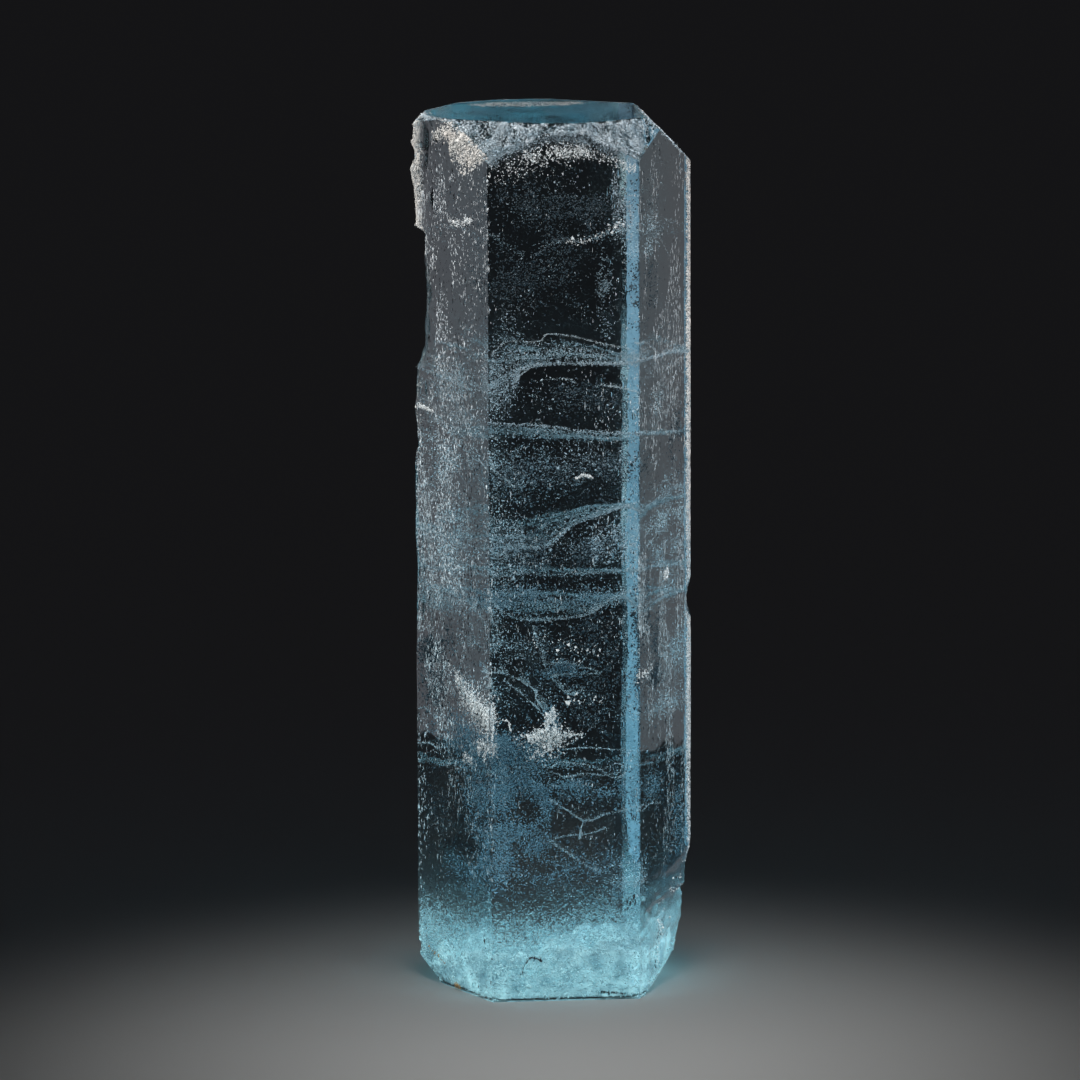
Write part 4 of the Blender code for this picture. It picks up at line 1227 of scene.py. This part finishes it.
class CRYSTAL_OT_veils(bpy.types.Operator):
    """Lay out the healed fractures that cross the prism: their films and their droplets"""

    bl_idname = "crystal.veils"
    bl_label = "Healed veils"

    def execute(self, context):
        prism = Prism(context.scene.aquamarine_body)
        inclusions = context.scene.aquamarine_inclusions
        rng = np.random.default_rng(inclusions.seed)
        films = np.vstack([veil_film(rng, prism, veil, 41 + k) for k, veil in enumerate(VEILS)])
        films = films[within(prism, films)]
        sizes = grain_sizes(rng, inclusions.film_size / MM, 0.35, films)
        material = scatter_material("healed_film", "#5f97a8", "#7e929c", 0.5)
        fleck_piece(rng, "veil_films", films, sizes, material)

        drops = np.vstack([veil_rim(rng, prism, veil, 41 + k) for k, veil in enumerate(VEILS)])
        drops = drops[within(prism, drops, 0.04)]
        sizes = grain_sizes(rng, 0.075, 0.45, drops)
        field_places, field_sizes = strewn_fields(rng, prism, DROPLET_FIELDS, 300)
        places, sizes = np.vstack([drops, field_places]), np.concatenate([sizes, field_sizes])
        material = scatter_material("fluid_droplets", "#7fb4c8", "#a3b2bb", 0.4, patch=1.4)
        fleck_piece(rng, "droplets", places, sizes, material, (1.0, 1.0, 1.25))

        # White grains for the star's internal reflection and for glints, as painted highlights, among bright
        # bubbles.
        places, sizes = strewn_fields(rng, prism, SPARK_FIELDS, 350)
        arms = np.vstack([cracks_of(rng, prism, BRIGHT_CRACKS, 170), clouds_of(rng, prism, SMOKE, 452)])
        places = np.vstack([places, arms])
        sizes = np.append(sizes, grain_sizes(rng, 0.085, 0.5, arms))
        material = scatter_material("bubbles_and_painted_glints", "#f0fafc", "#eceeee", 0.4, mottle=0.3, patch=0.5)
        fleck_piece(rng, "sparks", places, sizes, material, (1.0, 1.0, 1.25))
        return {"FINISHED"}


class CRYSTAL_OT_mist(bpy.types.Operator):
    """Build the milky heart of the foot, the mist over it and the clouds above"""

    bl_idname = "crystal.mist"
    bl_label = "Mist"

    def execute(self, context):
        prism = Prism(context.scene.aquamarine_body)
        inclusions = context.scene.aquamarine_inclusions
        rng = np.random.default_rng(inclusions.seed + 1)
        milk = scatter_material(
            "fluid_milk", "#bcf0f8", "#3f788d", 0.6, patch=1.8, mottle=0.85, run_from=3.0, run_to=8.5
        )
        core = make_piece("foot_core", *closed_grid(*milky_core(prism)), milk)
        core.data.shade_smooth()

        plan = in_section(rng, prism, MIST_TRIES)
        height = rng.uniform(0.1, MIST_CEILING, len(plan))
        points = np.column_stack([plan, height])
        to_right = plan[:, 0] + 2
        top = 6.0 + 0.070 * np.maximum(to_right, 0) ** 2 + 0.012 * np.minimum(to_right, 0) ** 2
        top += 1.2 * fractal(points, 4.0, 4, seed=51)
        near = prism.from_sides(plan)
        density = smooth(top + 3.4, top - 3.2, height) ** 1.5 * (0.3 + 0.7 * np.exp(-near / 2.0))
        holes = smooth(0.35, -0.25, fractal(points, 2.4, 3, seed=53)) * smooth(4.0, 7.0, height)
        density *= 1 - 0.75 * holes
        points = points[(rng.random(len(points)) < density) & within(prism, points)][:MIST_GRAINS]
        coarse = np.interp(points[:, 2], (2.0, 4.5, 8.0), (1.7, 1.25, 0.85))
        sizes = grain_sizes(rng, inclusions.mist_size / MM * coarse, 0.35, points)
        fleck_piece(rng, "foot_mist", points, sizes, milk)

        for name, rows, seed, size, colours in (
            ("clouds", CLOUDS, 152, 0.12, ("fluid_cloud", "#5b93aa", "#6b7d86", 0.5)),
            ("deep_haze", DEEP_HAZE, 352, 0.15, ("deep_haze", "#2c4a57", "#2c3c45", 0.6)),
            ("haze", HAZE, 252, 0.085, ("fluid_haze", "#9ccfe0", "#b6ced9", 0.5)),
        ):
            places = clouds_of(rng, prism, rows, seed)
            sizes = grain_sizes(rng, size, 0.4, places)
            fleck_piece(rng, name, places, sizes, scatter_material(*colours))
        return {"FINISHED"}


class CRYSTAL_OT_skin_marks(bpy.types.Operator):
    """Scatter the crust, the frost under the rim, the etch pits with their painted shade, and the stains of
    the faces
    """

    bl_idname = "crystal.skin_marks"
    bl_label = "Crust and pits"

    def execute(self, context):
        prism = Prism(context.scene.aquamarine_body)
        rng = np.random.default_rng(context.scene.aquamarine_inclusions.seed + 2)
        grid, normals, _ = crystal_skin(prism)
        x, y, z = grid[..., 0], grid[..., 1], grid[..., 2]
        skin = (grid, normals)
        left = np.linalg.norm(grid[..., :2] - prism.corners[LEFT], axis=-1)
        edge_crust = smooth(1.5, 0.5, left) * smooth(64.6, 65.2, z)
        lower_crust = 0.25 * smooth(1.2, 0.4, left) * smooth(44, 50, z)
        band = on_facets(normals, z) * np.where(x > 7.2, 0.35, 1.0) * np.where(y < 3, 1.0, 0.3)
        streak = smooth(74.9, 74.99, z) * smooth(2.0, 1.2, np.hypot(0.33 * (x + 1.5), y - 6.0)) * 3.0
        mottled = smooth(-0.5, 0.5, fractal(grid, 0.8, 3, seed=61))
        weight = (3.0 * edge_crust + lower_crust + streak) * (0.25 + 0.75 * mottled)
        places = under_skin(rng, skin, weight, 8500, (0.01, 0.22))
        field_places, field_sizes = strewn_fields(rng, prism, CRUST_FIELDS, 400)
        sizes = np.concatenate([grain_sizes(rng, 0.095, 0.45, places), field_sizes])
        material = scatter_material("weathered_crust", "#cfeaf2", "#e6e2dd", 0.7)
        fleck_piece(rng, "crust", np.vstack([places, field_places]), sizes, material)
        places = under_skin(rng, skin, band * (0.15 + 0.85 * mottled), 11000, (0.01, 0.30))
        material = scatter_material("rim_frost", "#d1dbe1", "#d1dbe1", 0.6, 1.2, 0.7)
        fleck_piece(rng, "rim_frost", places, grain_sizes(rng, 0.13, 0.4, places), material)

        pale = scatter_material("etched_beryl", "#bfe2ee", "#dfe3e6", 0.5)
        on_left = (x < -6.2) & (y < 0.3)
        clumps = smooth(-0.3, 0.5, fractal(grid, 1.8, 3, seed=62, stretch=(1, 1, 2.5)))
        denser = 0.25 + smooth(8.5, 3.0, left)
        by_height = np.interp(z, (6, 9, 12, 20, 23, 71, 73), (0, 0.3, 0.25, 0.3, 1.0, 1.0, 0.0))
        weight = clumps * on_left * denser * by_height
        left_pits = under_skin(rng, skin, weight, 6500, (0.03, 0.15))
        left_sizes = grain_sizes(rng, 0.11, 0.45, left_pits)
        facing = np.clip(-(normals @ np.array([0.0, 0.95, 0.0])), 0, 1) + 0.15
        by_height = np.interp(z, (8, 12, 30, 36, 50, 57, 66, 73), (0, 0.4, 0.6, 0.9, 0.8, 0.1, 0.06, 0.15))
        weight = clumps * facing * by_height * np.where(on_left, 0.5, 1.0) * smooth(73.5, 73, z)
        other_pits = under_skin(rng, skin, weight, 3000, (0.03, 0.15))
        sizes = np.concatenate([left_sizes, grain_sizes(rng, 0.08, 0.4, other_pits)])
        fleck_piece(rng, "etch_pits", np.vstack([left_pits, other_pits]), sizes, pale, (0.55, 0.55, 2.5))

        # Dark grains just under the skin of the left-front side, the right-front side's edge and the top:
        # painted shade for the dark that the etch pits show.
        by_height = np.interp(z, (7, 12, 22, 30, 45, 58, 73), (0.2, 0.6, 1.4, 1.6, 1.2, 0.6, 0.5))
        weight = (1.2 - clumps) * by_height * (on_left + 0.12 * (y < -0.3) * (x > 6.5)) * smooth(73.5, 73, z)
        weight = weight + 6.0 * smooth(74.9, 74.99, z) * smooth(0.0, 0.5, fractal(grid, 2.6, 3, seed=66))
        places = under_skin(rng, skin, weight, 8500, (0.02, 0.12))
        field_places, field_sizes = strewn_fields(rng, prism, DARK_FIELDS, 500)
        sizes = np.concatenate([grain_sizes(rng, 0.14, 0.35, places), field_sizes])
        material = scatter_material("shaded_pits", "#10242c", "#12151a", 0.6)
        fleck_piece(rng, "dark_marks_and_pit_shade", np.vstack([places, field_places]), sizes, material, (0.6, 0.6, 1.9))

        # Fine upright growth lines on the three front sides.
        right_front = (y < -0.3) & (x > 6.5)
        by_height = np.interp(z, (9, 14, 22, 32, 40, 50, 60, 72), (0, 0.5, 1.0, 1.6, 1.2, 0.7, 0.5, 0.2))
        weight = (1.0 * right_front + 0.5 * on_left + 0.05 * (y < -9)) * by_height
        weight = weight * smooth(-0.1, 0.6, fractal(grid, 2.2, 3, seed=64, stretch=(0.6, 0.6, 4)))
        places = under_skin(rng, skin, weight, 6000, (0.04, 0.35))
        sizes = grain_sizes(rng, 0.06, 0.35, places)
        fleck_piece(rng, "growth_lines", places, sizes, pale, (0.7, 0.7, 9.0))

        # The side away from the front on the right is etched all over, with the coarser pits near the front.
        flank = smooth(0.9, 0.97, normals @ np.append(prism.side_normals[RIGHT_REAR], 0.0))
        evenly = 0.7 + 0.3 * fractal(grid, 2.0, 3, seed=63, stretch=(1, 1, 3))
        weight = flank * smooth(8, 11, z) * evenly * smooth(6.0, 7.2, y) * (y < 8.1)
        rear_part = under_skin(rng, skin, weight, 5000, (0.01, 0.18))
        weight = flank * smooth(8, 11, z) * evenly * np.clip(7.0 - y, 0, 1)
        fore_part = under_skin(rng, skin, weight, 4500, (0.02, 0.12))
        sizes = grain_sizes(rng, 0.12, 0.3, rear_part)
        points, faces = flecks(rng, rear_part, sizes, (0.8, 0.8, 1.6))
        plate_points, plate_faces = closed_grid(*etched_plate(prism))
        plate_faces = [part + len(points) for part in plate_faces]
        # The etched layer's outer face is painted dark: painted shade where the lamp at the rear right would
        # light it brightly.
        outer_shade = np.tile(np.repeat((1.0, 0.0), PLATE_COLUMNS), PLATE_ROWS)
        make_piece(
            "etched_flank", np.vstack([points, plate_points]), [faces, *plate_faces],
            scatter_material("etched_side", "#89c1d9", "#7c9cb0", 0.6, mottle=0.3, outer_shade="#14262e"),
            {"outer_shade": np.concatenate([np.zeros(len(points)), outer_shade, (0.5, 0.5)])},
        )
        sizes = grain_sizes(rng, 0.13, 0.3, fore_part)
        material = scatter_material("etched_rim", "#d6dfe2", "#f2e4dc", 0.5)
        fleck_piece(rng, "etched_edge", fore_part, sizes, material, (0.8, 0.8, 1.6))

        places, sizes = strewn_fields(rng, prism, STAIN_FIELDS, 600)
        material = scatter_material("iron_ochre", "#a98a55", "#a98a55", 0.7)
        fleck_piece(rng, "iron_stain", places, sizes, material)
        return {"FINISHED"}


class CRYSTAL_OT_cracks(bpy.types.Operator):
    """Draw the fresh cracks"""

    bl_idname = "crystal.cracks"
    bl_label = "Cracks"

    def execute(self, context):
        prism = Prism(context.scene.aquamarine_body)
        rng = np.random.default_rng(context.scene.aquamarine_inclusions.seed + 3)
        places = cracks_of(rng, prism, CRACKS, 70)
        sizes = grain_sizes(rng, 0.05, 0.5, places)
        material = scatter_material("open_cracks", "#9ecbdb", "#bcc9cf", 0.35)
        fleck_piece(rng, "cracks", places, sizes, material)
        return {"FINISHED"}


class CRYSTAL_OT_stage(bpy.types.Operator):
    """Build the floor, the lights and the camera"""

    bl_idname = "crystal.stage"
    bl_label = "Studio stage"

    def execute(self, context):
        stage = context.scene.aquamarine_stage
        build_floor(stage)
        build_lights(stage)
        build_world(context.scene)
        build_camera(context.scene)
        return {"FINISHED"}


def build_floor(stage):
    """A level square under the crystal, a hair below its base so that the two don't share a plane."""
    half = stage.floor_size / 2
    corners = [(-half, -half, 0), (half, -half, 0), (half, half, 0), (-half, half, 0)]
    mesh = bpy.data.meshes.new("floor")
    mesh.from_pydata(corners, [], [(0, 1, 2, 3)])
    mesh.transform(Matrix.Translation((0, 0, -FLOOR_DROP)))
    mesh.materials.append(floor_material())
    floor = bpy.data.objects.new("floor", mesh)
    bpy.context.scene.collection.objects.link(floor)
    lit_group("ground").objects.link(floor)


def add_card(name, turn, tilt, distance, size, glow, group, colour="#ffffff", target=MIDDLE):
    """A soft card of light that faces the target from an azimuth and an elevation in degrees, and lights one
    group of pieces. Azimuth 0 is behind the crystal and 90 is on its right. Glow is the card's radiance, so
    its power is glow times pi times its area."""
    a, e = math.radians(turn), math.radians(tilt)
    towards = Vector((math.sin(a) * math.cos(e), math.cos(a) * math.cos(e), math.sin(e)))
    data = bpy.data.lights.new(name, "AREA")
    data.shape = "RECTANGLE"
    data.size, data.size_y = size
    data.energy = glow * math.pi * size[0] * size[1]
    data.color = linear(colour)[:3]
    lamp = bpy.data.objects.new(name, data)
    lamp.location = Vector(target) + distance * towards
    lamp.rotation_mode = "QUATERNION"
    lamp.rotation_quaternion = towards.to_track_quat("Z", "Y")
    lamp.visible_camera = False
    lamp.visible_glossy = group != "skin"
    lamp.light_linking.receiver_collection = lit_group(group)
    bpy.context.scene.collection.objects.link(lamp)
    return lamp


def build_lights(stage):
    """Cards for the skin, lamps for what is inside the crystal, and a pool on the floor."""
    # Upright cards behind the crystal. Each is what one face shows through the crystal.
    add_card("left_card", 50, 0, 0.094, (0.062, 0.066), 0.100, "skin", "#f4ecf4", (0, 0, 0.033))
    add_card("right_card", -43, 0, 0.088, (0.050, 0.066), 0.105, "skin", "#f4eef4", (0, 0, 0.033))
    add_card("edge_card", -68, 0, 0.080, (0.024, 0.070), 0.60, "skin", "#f2f2f6", (0, 0, 0.035))
    # Soft lamps that light what is inside the crystal.
    add_card("high_left", -60, 40, 0.50, (0.25, 0.25), 13.0, "inclusions", "#fffaf5")
    add_card("rear_right", 60, 25, 0.50, (0.25, 0.25), 14.0, "inclusions", "#f5faff")
    add_card("front_left", -130, 18, 0.50, (0.20, 0.20), 14.0, "inclusions")
    add_card("front_right", 130, 15, 0.50, (0.20, 0.20), 14.0, "inclusions")
    # A soft pool on the floor in front.
    pool = add_card("floor_pool", 180, 90, 0.30, (0.03, 0.03), 1.0, "ground", target=(0, -0.034, 0))
    pool.data.energy = stage.pool
    pool.data.spread = math.radians(22)


def build_world(scene):
    """An even, nearly black surround, and colours shown as they are."""
    world = bpy.data.worlds.new("studio")
    world.use_nodes = True
    world.node_tree.nodes["Background"].inputs["Color"].default_value = linear("#18181a")
    world.node_tree.nodes["Background"].inputs["Strength"].default_value = 1.0
    scene.world = world
    scene.view_settings.view_transform = "Standard"


def build_camera(scene):
    """The camera stands a little to the left of the front face's normal and looks slightly down."""
    roll = CAMERA_ROLL
    back = Vector(-SIGHT)
    level = (-back).cross(Vector((0, 0, 1))).normalized()
    upright = level.cross(-back)
    right = math.cos(roll) * level + math.sin(roll) * upright
    up = -math.sin(roll) * level + math.cos(roll) * upright
    centre = Vector(AXIS_IN_FRAME * MM) + Vector(MIDDLE)
    place = centre + CAMERA_DISTANCE * back
    aim = centre + AIM_RIGHT * right + AIM_UP * up
    back = (place - aim).normalized()
    right = up.cross(back).normalized()
    up = back.cross(right)
    data = bpy.data.cameras.new("camera")
    data.lens = CAMERA_LENS
    data.sensor_width = 36
    data.clip_start, data.clip_end = CAMERA_CLIP
    camera = bpy.data.objects.new("camera", data)
    camera.matrix_world = Matrix((
        (right.x, up.x, back.x, place.x),
        (right.y, up.y, back.y, place.y),
        (right.z, up.z, back.z, place.z),
        (0, 0, 0, 1),
    ))
    scene.collection.objects.link(camera)
    scene.camera = camera


class CRYSTAL_PT_panel(bpy.types.Panel):
    """Sizes and steps of the aquamarine crystal"""

    bl_idname = "CRYSTAL_PT_panel"
    bl_label = "Aquamarine Crystal"
    bl_space_type = "VIEW_3D"
    bl_region_type = "UI"
    bl_category = "Crystal"

    def draw(self, context):
        for group in (context.scene.aquamarine_body, context.scene.aquamarine_inclusions,
                      context.scene.aquamarine_stage):
            box = self.layout.box()
            for name in group.__annotations__:
                box.prop(group, name)
        for operator in OPERATORS:
            self.layout.operator(operator.bl_idname)


OPERATORS = (
    CRYSTAL_OT_body, CRYSTAL_OT_veils, CRYSTAL_OT_mist, CRYSTAL_OT_skin_marks, CRYSTAL_OT_cracks,
    CRYSTAL_OT_stage,
)
GROUPS = {
    "aquamarine_body": AquamarineBody,
    "aquamarine_inclusions": AquamarineInclusions,
    "aquamarine_stage": AquamarineStage,
}


def register():
    for group in (*GROUPS.values(), *OPERATORS, CRYSTAL_PT_panel):
        bpy.utils.register_class(group)
    for name, group in GROUPS.items():
        setattr(bpy.types.Scene, name, PointerProperty(type=group))


def unregister():
    for name in GROUPS:
        delattr(bpy.types.Scene, name)
    for group in (*GROUPS.values(), *OPERATORS, CRYSTAL_PT_panel):
        bpy.utils.unregister_class(group)


def main():
    register()
    bpy.ops.crystal.body()
    bpy.ops.crystal.veils()
    bpy.ops.crystal.mist()
    bpy.ops.crystal.skin_marks()
    bpy.ops.crystal.cracks()
    bpy.ops.crystal.stage()


if __name__ == "__main__":
    main()
